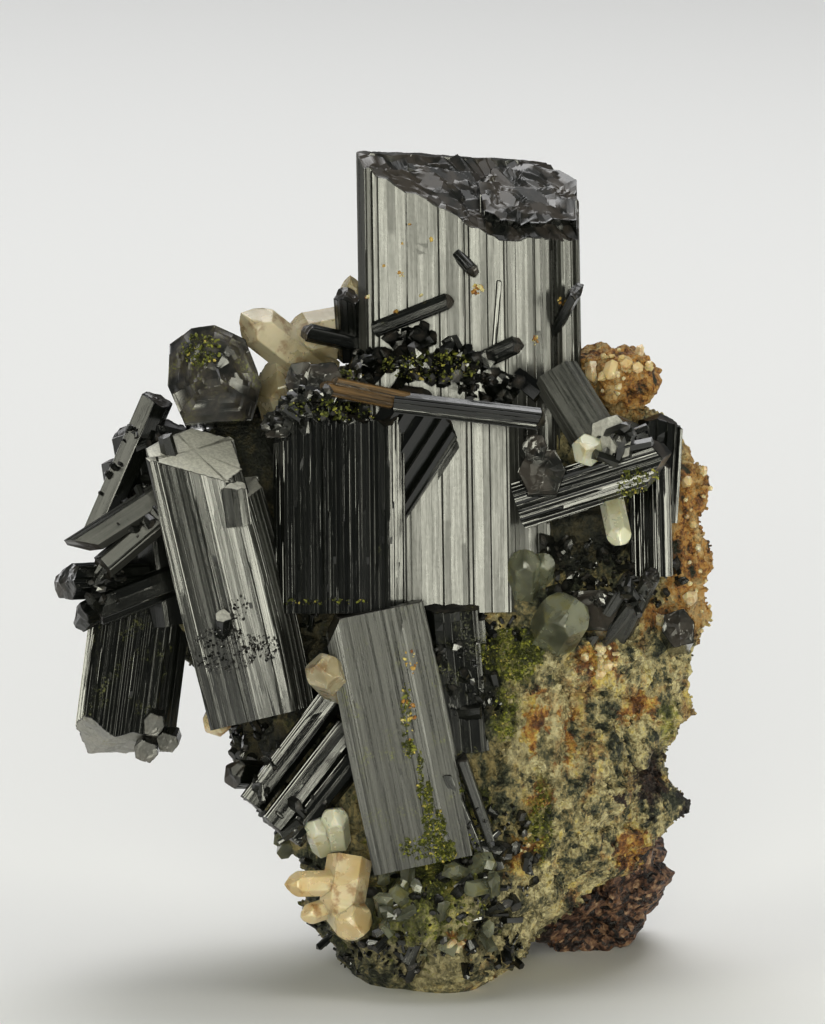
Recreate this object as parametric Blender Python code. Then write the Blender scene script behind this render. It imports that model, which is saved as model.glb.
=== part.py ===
"""Epidote crystals on a quartz matrix: a hand-sized mineral specimen that stands on a flat cut.

Run it with  blender --background --python part.py  or from Blender's text editor.

Sizes and places below are in millimetres, and the finished objects are in metres, +Z up. The origin
is on the flat cut, under the middle of the specimen's box.
"""

import math
from dataclasses import dataclass, field

import bmesh
import bpy
import numpy as np
from mathutils import Matrix, Vector

MM = 0.001

# The front view, off which the places are read, looks down by this much.
VIEW_DOWN = math.radians(10.0)
# Depth of the foremost edge of the flat cut. Heights in the front view start there.
FRONT_EDGE = -10.0
# Room between two pieces that touch.
GAP = 0.3
# The specimen's own frame is moved by this much, so that the origin is under the middle of its box.
CENTRE_RIGHT = -1.15
CENTRE_DEPTH = 4.06

TOWARDS_VIEWER = Vector((0.0, -math.cos(VIEW_DOWN), math.sin(VIEW_DOWN)))
UPWARDS = Vector((0.0, 0.0, 1.0))

QUARTZ_SLOPE = math.tan(math.radians(51.8))
# Longer than any crystal's end is tall.
TALL = 30.0
# Small tips on a broken-up end: how far they stand out, and the falls of their faces.
TIP_DROP = 1.0
TIP_FALLS = ((0.55, 0.35), (-0.45, 0.5), (0.05, -0.5))
# The share of a step at each edge of which its side slopes in.
RIB_SLOPE = 0.1
# What is cut off an end is this much wider than the crystal, and more with each further face, so
# that no two sides of the cuts coincide.
CUT_MARGIN = 2.0
CUT_MARGIN_STEP = 0.4


def spot(right, up, depth):
    """A place in the front view, right and up as they are seen and depth away from the viewer."""
    height = (up - (depth - FRONT_EDGE) * math.sin(VIEW_DOWN)) / math.cos(VIEW_DOWN)
    return Vector((right, depth, height))


# Crystals


@dataclass
class Crystal:
    """A straight prism. foot and tip are the ends of the middle line of its front face.

    outline holds the corners of its cross-section, each across and towards the viewer. tops holds the
    faces that end it, each as (height over the tip, fall across, fall towards the viewer). ribs is how
    many steps a wide side has, and rib_depth how deep they are. tips is how far apart the small tips
    are that break up the end, or zero.
    """

    foot: tuple
    tip: tuple
    outline: list
    tops: list = field(default_factory=lambda: [(0.0, 0.0, 0.0)])
    roll: float = 0.0
    facing: Vector = TOWARDS_VIEWER
    ribs: int = 0
    rib_depth: float = 0.25
    tips: float = 0.0
    seed: int = 1

    def frame(self):
        """The foot, the length, and the matrix whose columns are across, front and along."""
        foot, tip = spot(*self.foot), spot(*self.tip)
        along = (tip - foot).normalized()
        front = (self.facing - along * self.facing.dot(along)).normalized()
        turn = Matrix.Rotation(math.radians(self.roll), 3, along)
        front = turn @ front
        across = along.cross(front)
        return foot, (tip - foot).length, Matrix((across, front, along)).transposed()


def six_sided(width, thick, edge=0.2):
    """The flattened six-sided section of epidote, its wide face in front."""
    half, cut = width / 2, width * edge
    return [
        (-half, -thick * 0.45),
        (-half + cut, 0.0),
        (half - cut, 0.0),
        (half, -thick * 0.45),
        (half - cut, -thick),
        (-half + cut, -thick),
    ]


def hexagon(width):
    """The regular six-sided section of quartz, width across its flats, with its axis in the middle."""
    reach = width / math.sqrt(3)
    angles = [math.radians(60 * k) for k in range(6)]
    return [(reach * math.cos(a), reach * math.sin(a)) for a in angles]


def epidote(foot, tip, width, thick, tops=None, edge=0.2, **more):
    """An epidote prism with a six-sided section, ended by a low roof unless tops says otherwise."""
    roof = [(0.0, 0.45, 0.15), (0.1 * width, -0.3, 0.0)]
    return Crystal(foot, tip, six_sided(width, thick, edge), tops or roof, **more)


def quartz(foot, tip, width, **more):
    """A quartz prism that ends in six faces, three of them larger than the others."""
    ends = []
    for k in range(6):
        angle = math.radians(60 * k + 30)
        lift = 0.16 * width * (k % 2)
        ends.append((lift, QUARTZ_SLOPE * math.cos(angle), QUARTZ_SLOPE * math.sin(angle)))
    return Crystal(foot, tip, hexagon(width), ends, **more)


def grown_outline(outline, by):
    """A convex outline moved outwards by this much, side by side."""
    corners = [Vector(c) for c in outline]
    middle = sum(corners, Vector((0.0, 0.0))) / len(corners)
    lines = []
    for start, end in zip(corners, corners[1:] + corners[:1]):
        side = (end - start).normalized()
        normal = Vector((side.y, -side.x))
        if normal.dot(start - middle) < 0:
            normal.negate()
        lines.append((normal, normal.dot(start) + by))
    grown = []
    for (n1, d1), (n2, d2) in zip(lines[-1:] + lines[:-1], lines):
        det = n1.x * n2.y - n1.y * n2.x
        grown.append(((d1 * n2.y - d2 * n1.y) / det, (n1.x * d2 - n2.x * d1) / det))
    return grown


def ribbed_outline(outline, ribs, depth, seed):
    """The outline with steps let into its wide sides, as the striations along an epidote are."""
    rng = np.random.default_rng(seed)
    corners = [np.array(c, float) for c in outline]
    middle = sum(corners) / len(corners)
    widest = max(np.linalg.norm(b - a) for a, b in zip(corners, corners[1:] + corners[:1]))
    points = []
    for start, end in zip(corners, corners[1:] + corners[:1]):
        points.append(start)
        side = end - start
        length = np.linalg.norm(side)
        steps = int(round(ribs * length / widest))
        if steps < 2:
            continue
        edges = np.cumsum(rng.uniform(0.5, 1.5, steps + 1))
        edges = edges[:-1] / edges[-1]
        sunk = np.where(np.arange(steps - 1) % 2, 0.3, 1.0) * rng.uniform(0.4, 1.0, steps - 1)
        for a, b, deep in zip(edges[:-1], edges[1:], sunk * depth):
            for share in (a + RIB_SLOPE * (b - a), b - RIB_SLOPE * (b - a)):
                place = start + side * share
                inward = (middle - place) / np.linalg.norm(middle - place)
                points.append(place + inward * deep)
    return [tuple(p) for p in points]


def prism(outline, low, high):
    """A straight prism over the outline, as a bmesh."""
    bm = bmesh.new()
    floor = bm.faces.new([bm.verts.new((a, b, low)) for a, b in outline])
    raised = bmesh.ops.extrude_face_region(bm, geom=[floor])["geom"]
    up = [v for v in raised if isinstance(v, bmesh.types.BMVert)]
    bmesh.ops.translate(bm, verts=up, vec=(0, 0, high - low))
    return bm


def slice_off(bm, height, fall_across, fall_front, keep_above=False):
    """Cuts the bmesh at a slanting plane and closes it there."""
    cut = bmesh.ops.bisect_plane(
        bm,
        geom=bm.verts[:] + bm.edges[:] + bm.faces[:],
        dist=1e-4,
        plane_co=(0, 0, height),
        plane_no=Vector((fall_across, fall_front, 1)).normalized(),
        clear_outer=not keep_above,
        clear_inner=keep_above,
    )
    edges = [e for e in cut["geom_cut"] if isinstance(e, bmesh.types.BMEdge)]
    if edges:
        bmesh.ops.edgeloop_fill(bm, edges=edges)


def ended_prism(outline, low, height, tops):
    """A prism whose upper end is cut by each of the faces in tops."""
    bm = prism(outline, low, height + TALL)
    for lift, fall_across, fall_front in tops:
        slice_off(bm, height + lift, fall_across, fall_front)
    return bm


def in_place(name, bm, crystal):
    """Puts a bmesh that was made along +Z where the crystal is, and makes it a mesh."""
    foot, _, axes = crystal.frame()
    bmesh.ops.transform(bm, matrix=Matrix.Translation(foot) @ axes.to_4x4(), verts=bm.verts)
    return finished_mesh(name, bm)


def crystal_mesh(name, crystal, grown=0.0):
    """The crystal's mesh, plain and moved outwards by grown where that isn't zero."""
    length = crystal.frame()[1]
    if grown:
        lifted = [(h + grown * math.sqrt(1 + a * a + b * b), a, b) for h, a, b in crystal.tops]
        bm = ended_prism(grown_outline(crystal.outline, grown), -grown, length, lifted)
        return in_place(name, bm, crystal)
    outline = ribbed_outline(crystal.outline, crystal.ribs, crystal.rib_depth, crystal.seed)
    return in_place(name, ended_prism(outline, 0.0, length, crystal.tops), crystal)


def break_end(obj, crystal):
    """Cuts the end down by TIP_DROP, except where small tips with faces of their own stand."""
    rng = np.random.default_rng(crystal.seed)
    length = crystal.frame()[1]
    cap = None
    for k, (lift, fall_across, fall_front) in enumerate(crystal.tops):
        margin = CUT_MARGIN + CUT_MARGIN_STEP * k
        block = prism(grown_outline(crystal.outline, margin), length - TALL, length + TALL)
        slice_off(block, length + lift - TIP_DROP, fall_across, fall_front, keep_above=True)
        mesh = in_place("cap", block, crystal)
        if cap:
            combine(cap, mesh, "UNION")
        else:
            cap = add_object("cap", mesh, bpy.context.scene.collection)
    low, high = np.min(crystal.outline, axis=0), np.max(crystal.outline, axis=0)
    for across in np.arange(low[0], high[0] + crystal.tips, crystal.tips):
        for front in np.arange(low[1], high[1] + crystal.tips, crystal.tips):
            x, y = np.array((across, front)) + rng.uniform(-0.4, 0.4, 2) * crystal.tips
            plain = min(h - a * x - b * y for h, a, b in crystal.tops)
            peak = length + plain - rng.uniform(-0.2, 0.9) * TIP_DROP
            size = crystal.tips * rng.uniform(1.1, 1.9)
            outline = [(x + a, y + b + size / 2) for a, b in six_sided(size, size, 0.3)]
            bm = prism(outline, peak - TALL, peak + TALL)
            for fall_x, fall_y in TIP_FALLS:
                slice_off(bm, peak + fall_x * x + fall_y * y, fall_x, fall_y)
            combine(cap, in_place("tip", bm, crystal), "DIFFERENCE")
    combine(obj, cap.data, "DIFFERENCE")
    bpy.data.objects.remove(cap)


def to_metres():
    """From the specimen's millimetres to the part's frame."""
    shift = Matrix.Translation((-CENTRE_RIGHT * MM, -CENTRE_DEPTH * MM, 0))
    return shift @ Matrix.Diagonal((MM, MM, MM, 1))


# Meshes and cuts, all of them in millimetres


def finished_mesh(name, bm):
    bmesh.ops.recalc_face_normals(bm, faces=bm.faces)
    mesh = bpy.data.meshes.new(name)
    bm.to_mesh(mesh)
    bm.free()
    return mesh


def add_object(name, mesh, collection):
    obj = bpy.data.objects.new(name, mesh)
    collection.objects.link(obj)
    return obj


def box_of(mesh):
    points = np.empty(len(mesh.vertices) * 3, np.float32)
    mesh.vertices.foreach_get("co", points)
    points = points.reshape(-1, 3)
    return points.min(axis=0), points.max(axis=0)


def boxes_meet(first, second):
    (low, high), (other_low, other_high) = first, second
    return bool(np.all(low <= other_high) and np.all(other_low <= high))


def combine(obj, mesh, operation, solver="EXACT"):
    """Joins the mesh to the object, or cuts it away, with a Boolean that is applied at once."""
    tool = add_object("tool", mesh, bpy.context.scene.collection)
    modifier = obj.modifiers.new(operation, "BOOLEAN")
    modifier.operation = operation
    modifier.solver = solver
    modifier.object = tool
    graph = bpy.context.evaluated_depsgraph_get()
    result = bpy.data.meshes.new_from_object(obj.evaluated_get(graph))
    obj.modifiers.clear()
    obj.data = result
    bpy.data.objects.remove(tool)


def keep_largest(mesh):
    """Drops the crumbs that a cut leaves beside the piece itself."""
    bm = bmesh.new()
    bm.from_mesh(mesh)
    bmesh.ops.remove_doubles(bm, verts=bm.verts, dist=1e-4)
    left = set(bm.faces)
    bodies = []
    while left:
        body, edge = set(), [left.pop()]
        while edge:
            face = edge.pop()
            body.add(face)
            near = {f for e in face.edges for f in e.link_faces} & left
            left -= near
            edge.extend(near)
        bodies.append(body)
    bodies.sort(key=lambda body: sum(f.calc_area() for f in body), reverse=True)
    crumbs = [f for body in bodies[1:] for f in body]
    bmesh.ops.delete(bm, geom=crumbs, context="FACES")
    bm.to_mesh(mesh)
    bm.free()


# The pieces. Each node is one crystal, or several that have grown through each other. A node that
# comes later in the list has grown round the ones before it.

PIECES = {}

# The large crystal behind, which everything else leans on. Its flat end slopes down to the front
# right and is broken into small tips, and small rods are stuck across its front.
MAIN_OUTLINE = [
    (-7.1, 0.0),
    (7.1, 0.0),
    (14.4, -5.5),
    (14.6, -11.0),
    (8.0, -16.5),
    (-4.0, -16.0),
    (-7.6, -9.0),
    (-7.8, -1.4),
]
PIECES["main_epidote"] = [
    Crystal(
        foot=(4.1, 38.0, -4.0),
        tip=(3.4, 84.5, 4.0),
        outline=MAIN_OUTLINE,
        tops=[(-5.3, 0.547, 0.78), (-0.9, 0.07, 0.05)],
        ribs=13,
        rib_depth=0.35,
        tips=3.4,
        seed=4,
    ),
    epidote((-2.7, 66.2, -0.4), (4.7, 69.1, -1.4), 1.7, 2.6),
    epidote((5.0, 61.7, -1.6), (11.4, 64.7, -2.6), 1.9, 3.4),
    epidote((9.4, 64.5, 0.3), (9.9, 71.2, 1.3), 0.7, 1.6),
    epidote((5.2, 74.4, 2.6), (7.0, 72.4, 0.2), 1.3, 1.6),
    epidote((14.9, 65.2, 4.6), (17.3, 69.6, 2.8), 1.3, 3.4),
]

# The leaning crystal on the left, its smooth end face towards the viewer.
PIECES["left_epidote"] = [
    Crystal(
        foot=(-14.8, 27.3, -9.0),
        tip=(-20.9, 53.0, -5.0),
        outline=[(-4.3, 0.0), (3.4, 0.0), (5.0, -3.0), (4.0, -8.0), (-3.0, -8.0), (-4.8, -3.0)],
        tops=[(-2.4, 0.55, 0.5), (0.9, -0.1, 0.1)],
        roll=-6.0,
        ribs=8,
        seed=8,
    ),
    Crystal(
        foot=(-14.8, 27.3, -9.0),
        tip=(-19.7, 48.0, -5.8),
        outline=[(2.0, -0.2), (4.4, -0.2), (6.4, -4.5), (5.4, -8.5), (2.0, -8.5)],
        tops=[(0.6, 0.15, 0.3)],
        roll=-6.0,
        ribs=5,
        seed=9,
    ),
    epidote((-16.4, 46.6, -6.6), (-17.0, 50.6, -6.2), 2.8, 2.6, roll=-20.0),
    epidote((-18.1, 36.6, -6.6), (-17.9, 38.4, -8.4), 1.7, 1.6, facing=UPWARDS, roll=25.0),
]

# The crystal in front, ended square across, with a narrow side face on its left.
PIECES["front_epidote"] = [
    Crystal(
        foot=(2.4, 13.0, -12.6),
        tip=(-2.7, 38.2, -9.5),
        outline=[(-5.2, -0.3), (-4.4, 0.0), (5.0, 0.0), (5.6, -3.0), (4.4, -8.5), (-4.6, -8.5)],
        tops=[(0.0, 0.0, 0.0), (4.6, -1.4, 0.0)],
        roll=4.0,
        ribs=10,
        seed=15,
    ),
]

# The dark crystal in the middle, with a rough top.
PIECES["centre_epidote"] = [
    Crystal(
        foot=(-6.0, 38.0, -6.5),
        tip=(-6.2, 57.6, -4.0),
        outline=[(-6.8, -1.0), (-5.4, 0.0), (5.2, 0.0), (6.4, -2.0), (5.6, -9.0), (-5.6, -9.0)],
        tops=[(0.0, 0.03, 0.1)],
        roll=-10.0,
        ribs=9,
        tips=3.0,
        seed=23,
    ),
]

# A dark blade that slants across the foot of the large crystal.
PIECES["slanting_epidote"] = [
    epidote((-6.3, 43.1, -4.2), (3.6, 58.4, -3.6), 9.0, 3.4, roll=12.0, edge=0.12),
]

PIECES["cross_lath"] = [
    epidote((-0.6, 59.0, -5.0), (14.0, 57.3, -7.0), 2.3, 2.6),
]

# The dark crystal that hangs at the lower left, broken off below.
PIECES["hanging_epidote"] = [
    Crystal(
        foot=(-25.6, 41.5, 2.0),
        tip=(-27.6, 25.8, -1.0),
        outline=[(-5.0, -1.6), (-3.0, 0.0), (4.4, 0.0), (5.2, -3.0), (3.6, -7.5), (-4.0, -7.5)],
        tops=[(0.2, -0.18, 0.25), (0.9, 0.5, 0.5)],
        ribs=7,
        seed=31,
    ),
    epidote((-24.2, 28.6, 1.0), (-24.4, 27.8, -3.0), 2.2, 2.2),
    epidote((-22.9, 26.6, 1.0), (-23.1, 25.8, -2.6), 2.4, 1.8),
    epidote((-24.9, 26.0, 2.0), (-25.2, 25.0, -3.2), 2.6, 2.0),
]

# The blocky crystal at the upper left, which points at the viewer.
PIECES["round_epidote"] = [
    Crystal(
        foot=(-18.7, 61.0, 9.0),
        tip=(-18.6, 61.6, -5.0),
        outline=[
            (4.4, 3.4),
            (2.1, 5.0),
            (-0.2, 5.2),
            (-3.3, 3.8),
            (-4.9, -0.6),
            (-3.9, -4.3),
            (2.8, -4.6),
            (4.5, -0.8),
        ],
        tops=[(0.0, 0.15, 0.1), (1.0, 0.85, 0.5), (0.7, -0.75, 0.3), (1.2, -0.2, -0.95)],
        facing=UPWARDS,
    ),
]

# The left flank: a dark wall, a long dark blade along its edge, and two laths that cross it.
PIECES["left_blade"] = [
    epidote((-31.2, 45.6, -1.2), (-25.2, 59.6, 3.0), 3.2, 3.0, roll=-35.0, tops=[(0, 0.3, 0.3)]),
]
PIECES["left_wall"] = [
    epidote((-21.0, 37.0, 0.6), (-24.0, 57.0, 2.4), 9.0, 7.0, roll=14.0, ribs=4, seed=3),
    epidote((-24.6, 40.0, 1.6), (-26.6, 53.4, 3.0), 8.0, 4.0, roll=-12.0),
]
PIECES["left_lath"] = [
    epidote((-22.6, 50.6, -1.4), (-31.3, 45.0, -4.4), 2.9, 2.6, tops=[(0, -1.0, 0.2)]),
    epidote((-24.0, 47.4, -1.6), (-29.4, 42.8, -3.6), 2.7, 2.6, tops=[(0, 0, 0.2)]),
]
PIECES["left_tips"] = [
    epidote((-25.0, 41.9, 0.4), (-32.4, 41.6, -3.2), 3.8, 4.6, roll=12.0),
    epidote((-22.5, 41.4, -0.6), (-30.2, 38.4, -3.0), 3.6, 4.2, ribs=4, seed=6),
    epidote((-26.0, 41.4, 0.4), (-31.8, 38.4, -3.6), 2.6, 3.0, roll=30.0),
]

# The tangle of small crystals and laths above the middle.
PIECES["upper_blocks"] = [
    epidote((-7.3, 60.6, 5.0), (-7.7, 63.0, -3.4), 4.4, 4.2, facing=UPWARDS),
    epidote((-9.6, 61.0, 5.0), (-9.9, 63.0, -2.4), 3.2, 3.6, facing=UPWARDS),
    epidote((-9.2, 58.0, 4.0), (-9.4, 60.0, -4.4), 3.0, 2.6, facing=UPWARDS),
    epidote((-11.8, 56.6, 4.0), (-12.2, 58.2, -3.8), 3.4, 2.8, facing=UPWARDS),
    epidote((-4.4, 61.4, 5.0), (-5.0, 62.2, -3.0), 3.4, 3.2, facing=UPWARDS),
]
PIECES["upper_laths"] = [
    epidote((-2.6, 64.6, 2.6), (-9.1, 66.0, 0.4), 1.9, 2.0),
    epidote((-4.9, 63.0, 3.6), (-5.3, 69.2, 1.4), 2.7, 2.6),
]
PIECES["orange_lath"] = [
    epidote((1.0, 59.5, -4.6), (-6.4, 61.0, -5.8), 1.1, 1.8),
    epidote((-0.6, 59.0, -4.4), (-7.4, 60.4, -6.0), 1.5, 2.0),
]

# The cluster on the right, round a striated crystal that lies on its side.
PIECES["striated_epidote"] = [
    Crystal(
        foot=(11.6, 48.6, -5.6),
        tip=(25.9, 53.1, -6.2),
        outline=six_sided(4.8, 4.6, 0.16),
        tops=[(0.0, 1.15, 0.1), (0.3, -0.4, 0.2)],
        ribs=6,
        seed=11,
    ),
]
PIECES["right_blade"] = [
    Crystal(
        foot=(25.2, 41.6, -3.4),
        tip=(24.9, 54.0, -1.6),
        outline=[(-2.2, -2.6), (0.6, 0.0), (1.9, -0.7), (2.2, -4.2), (-1.8, -5.0)],
        tops=[(0.0, 0.9, 0.1), (0.5, -0.5, 0.1)],
    ),
]
PIECES["right_wall"] = [
    epidote((25.6, 47.0, 1.6), (26.2, 57.8, 3.0), 4.6, 4.4, tops=[(0, 0.5, 0), (0, -0.3, 0)]),
]
PIECES["right_block"] = [
    epidote((13.8, 51.6, 4.0), (14.1, 53.3, -6.0), 5.6, 5.4, facing=UPWARDS),
    epidote((13.0, 54.8, 3.0), (13.4, 55.8, -5.6), 2.6, 2.6, facing=UPWARDS),
]
PIECES["right_striped"] = [
    epidote((15.2, 62.4, -0.6), (19.6, 55.2, -5.0), 5.0, 4.2, tops=[(0, 0, 0)], ribs=5, seed=9),
]
PIECES["right_facet"] = [
    epidote((22.6, 56.6, 4.0), (20.2, 57.4, -5.6), 4.6, 4.4, facing=UPWARDS, roll=20.0),
]
PIECES["right_laths"] = [
    epidote((18.2, 38.0, 4.0), (18.6, 40.4, -3.4), 6.6, 4.4, facing=UPWARDS),
    epidote((17.4, 32.6, -2.4), (22.7, 41.4, -5.6), 1.5, 1.8),
    epidote((19.6, 34.0, -1.6), (24.6, 40.8, -5.4), 1.4, 1.8),
    epidote((21.8, 34.8, -1.0), (25.0, 41.4, -4.8), 1.8, 2.0),
]
PIECES["edge_block"] = [
    epidote((27.2, 37.0, 6.0), (27.4, 38.2, -2.4), 3.4, 3.6, facing=UPWARDS, roll=15.0),
]

# The striated laths at the lower left, and the small crystals round the foot of the front one.
PIECES["lower_laths"] = [
    epidote((-6.8, 29.6, -7.6), (-14.8, 19.0, -10.0), 2.8, 3.4, tops=[(0, 0, 0)], ribs=3, seed=2),
    epidote((-5.0, 26.6, -8.0), (-12.6, 16.8, -10.8), 3.0, 3.8, tops=[(0, 0, 0)], ribs=3, seed=5),
    epidote((-4.6, 23.4, -8.0), (-10.8, 15.6, -10.6), 2.8, 4.0, tops=[(0, 0, 0)], ribs=3, seed=6),
]
PIECES["side_lath"] = [
    epidote((-10.6, 21.6, -3.0), (-15.9, 21.9, -7.0), 3.0, 2.6),
]
PIECES["hidden_epidote"] = [
    epidote((6.4, 24.0, -7.4), (5.2, 38.4, -6.0), 6.4, 5.6, tops=[(0, 0.1, 0.2)], ribs=4, seed=7),
]
PIECES["foot_laths"] = [
    epidote((10.0, 12.5, -10.4), (6.2, 23.4, -11.2), 1.3, 2.6),
    epidote((8.4, 13.0, -10.4), (4.6, 22.0, -11.4), 1.4, 2.6),
]

QUARTZ_PIECES = (
    "upper_quartz",
    "tip_quartz",
    "corner_quartz",
    "round_quartz",
    "white_quartz",
    "tag_quartz",
    "grey_quartz",
    "clear_quartz",
    "hidden_quartz",
    "gap_quartz",
)
PIECES["upper_quartz"] = [
    quartz((-7.4, 61.4, 5.4), (-15.9, 68.0, 2.6), 3.9),
    quartz((-4.6, 66.4, 6.4), (-12.2, 65.0, 4.6), 4.6),
    quartz((-10.4, 55.4, 5.6), (-12.6, 63.6, 3.6), 5.0),
]
PIECES["tip_quartz"] = [quartz((-4.4, 64.0, 5.0), (-5.0, 71.8, 5.0), 1.9)]
PIECES["corner_quartz"] = [
    quartz((-5.0, 13.6, -8.6), (-6.2, 6.6, -11.4), 4.0),
    quartz((-5.4, 11.2, -9.8), (-11.5, 11.1, -11.8), 2.3),
    quartz((-6.0, 9.0, -9.0), (-3.6, 6.0, -13.4), 3.6),
    quartz((-6.0, 9.0, -9.0), (-9.9, 7.8, -11.6), 1.9),
]
PIECES["round_quartz"] = [quartz((-6.0, 30.6, -6.6), (-8.2, 33.0, -13.4), 3.3)]
PIECES["white_quartz"] = [quartz((19.4, 54.4, 1.0), (18.4, 54.2, -7.6), 2.9)]
PIECES["tag_quartz"] = [quartz((21.0, 49.6, -3.0), (21.9, 44.8, -9.0), 2.5)]
PIECES["grey_quartz"] = [quartz((14.0, 33.6, -1.6), (17.4, 39.6, -8.0), 4.6)]
PIECES["clear_quartz"] = [
    quartz((12.4, 38.0, -1.0), (12.4, 44.4, -5.4), 2.9),
    quartz((13.6, 39.0, 0.0), (14.4, 44.0, -4.4), 2.2),
]
PIECES["hidden_quartz"] = [
    quartz((-7.6, 14.6, -7.0), (-8.6, 17.4, -11.0), 2.2),
    quartz((-6.2, 15.2, -7.6), (-6.6, 18.6, -11.6), 2.4),
]
PIECES["gap_quartz"] = [quartz((-18.0, 28.0, 4.0), (-18.4, 26.8, -4.6), 2.6)]


# The matrix


@dataclass
class Section:
    """A level section of the matrix: how far it reaches each way, and where its front ridge is."""

    height: float
    left: float
    right: float
    ridge: float
    front_left: float
    front: float
    ridge_front: float
    right_depth: float
    back: float

    def corners(self):
        """Nine corners, anticlockwise from the left."""
        to_ridge = self.ridge - self.left
        across = self.right - self.left
        past_ridge = self.right - self.ridge
        deep = self.back - self.front_left
        return [
            (self.left, self.front_left + 0.35 * deep),
            (self.left + 0.2 * to_ridge, self.front_left),
            (self.left + 0.6 * to_ridge, self.front),
            (self.ridge, self.ridge_front),
            (self.right - 0.3 * past_ridge, 0.5 * (self.ridge_front + self.right_depth)),
            (self.right, self.right_depth),
            (self.right - 0.15 * across, self.back - 2.5),
            (self.left + 0.5 * across, self.back),
            (self.left + 0.12 * across, self.back - 4.0),
        ]


MATRIX_SECTIONS = [
    Section(0.0, -5.2, 11.5, 6.0, -6.0, -9.2, -8.8, 4.0, 13.0),
    Section(3.5, -6.2, 14.5, 8.0, -8.6, -11.8, -10.8, 4.0, 16.0),
    Section(8.0, -8.0, 20.0, 10.0, -9.0, -13.0, -11.2, 5.0, 18.0),
    Section(12.0, -11.0, 26.0, 13.0, -7.6, -11.4, -10.0, 7.0, 20.0),
    Section(17.0, -14.5, 28.7, 16.0, -5.0, -7.0, -8.5, 7.0, 21.0),
    Section(23.0, -16.5, 29.5, 16.0, -3.0, -5.0, -7.0, 7.0, 21.5),
    Section(28.0, -21.0, 30.0, 15.0, -1.0, -4.0, -5.5, 7.0, 21.5),
    Section(33.0, -23.5, 30.8, 14.0, 0.0, -3.0, -4.0, 7.0, 21.0),
    Section(40.0, -25.5, 31.8, 14.0, 1.0, -1.0, -2.0, 7.0, 20.0),
    Section(47.0, -25.5, 31.0, 14.0, 2.0, 1.0, 0.0, 7.0, 19.0),
    Section(52.0, -23.0, 31.0, 15.0, 3.0, 3.0, 2.0, 8.0, 18.0),
    Section(56.0, -18.0, 26.5, 16.0, 5.0, 5.0, 4.0, 9.0, 17.0),
    Section(59.0, -12.0, 22.0, 16.0, 7.0, 7.0, 7.0, 10.0, 15.0),
    Section(60.5, -4.0, 20.0, 15.0, 9.0, 9.0, 9.0, 11.0, 13.0),
]
MATRIX_AROUND = 42
MATRIX_ROWS = 25
# Red-brown hollows on the right side: height, depth, how wide and how deep.
HOLLOWS = [(20.5, 4.0, 3.0, 2.6), (28.0, 1.0, 1.6, 1.2), (10.0, 0.0, 2.4, 1.6)]


def through(points, places, closed):
    """Catmull-Rom curve through the points, at places counted in points."""
    points = np.asarray(points, float)
    count = len(points)
    start = np.floor(places).astype(int)
    t = (places - start)[:, None, None]
    pick = [start + k for k in (-1, 0, 1, 2)]
    pick = [i % count if closed else np.clip(i, 0, count - 1) for i in pick]
    a, b, c, d = (points[i] for i in pick)
    bend = (2 * a - 5 * b + 4 * c - d) * t**2 + (3 * b - a - 3 * c + d) * t**3
    return 0.5 * (2 * b + (c - a) * t + bend)


def lattice(cell, seed):
    """A fixed random number from -1 to 1 for each whole-numbered place."""
    i, j, k = (cell[..., n].astype(np.int64) for n in range(3))
    mixed = (i * 73856093 ^ j * 19349663 ^ k * 83492791 ^ seed * 2654435761) & 0xFFFFFFFF
    mixed = ((mixed ^ (mixed >> 15)) * 1274126177) & 0xFFFFFFFF
    return (mixed ^ (mixed >> 13)) / 2**31 - 1.0


def wobble(place, seed=0):
    """Smooth noise from -1 to 1: random numbers on a unit lattice, blended between its corners."""
    cell = np.floor(place)
    share = place - cell
    share = share * share * (3 - 2 * share)
    total = np.zeros(place.shape[:-1])
    for corner in np.ndindex(2, 2, 2):
        weight = np.prod(np.where(corner, share, 1 - share), axis=-1)
        total += weight * lattice(cell + corner, seed)
    return total


def knolls(place, seed=0):
    """How far each place is from the nearest of the points strewn one to a unit cell."""
    cell = np.floor(place)
    nearest = np.full(place.shape[:-1], 9.0)
    for step in np.ndindex(3, 3, 3):
        near = cell + step - 1
        point = near + 0.5 + 0.5 * np.stack([lattice(near, seed + n) for n in range(3)], axis=-1)
        nearest = np.minimum(nearest, np.linalg.norm(place - point, axis=-1))
    return nearest


def lumps(place):
    """How far the broken rock stands out at a place, in millimetres."""
    broad = wobble(place / 7.0)
    small = wobble(place / 3.2, 1)
    return 2.4 * broad + 1.3 * small + 2.6 * (0.55 - knolls(place / 6.5, 2))


def rock_skin(row_count, around):
    """Points of the rock's skin: level sections joined by a smooth surface, then roughened."""
    rails = np.array([s.corners() for s in MATRIX_SECTIONS])
    heights = np.array([[[s.height]] for s in MATRIX_SECTIONS])
    rows = np.linspace(0, len(MATRIX_SECTIONS) - 1, row_count)
    turns = np.arange(around) / around * rails.shape[1]
    rings = through(through(rails, rows, False).transpose(1, 0, 2), turns, True).transpose(1, 0, 2)
    levels = np.broadcast_to(through(heights, rows, False), rings.shape[:2] + (1,))
    place = np.concatenate([rings, levels], axis=-1)
    away = rings - rings.mean(axis=1, keepdims=True)
    away /= np.linalg.norm(away, axis=-1, keepdims=True)
    level = place[..., 2]
    out = lumps(place) * np.minimum(1.0, 0.3 + level / 8)
    for height, depth, wide, deep in HOLLOWS:
        near = np.hypot(level - height, place[..., 1] - depth) / wide
        out -= np.where(away[..., 0] > 0.2, deep * np.exp(-near * near), 0.0)
    place[..., :2] += away * out[..., None]
    return place


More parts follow.
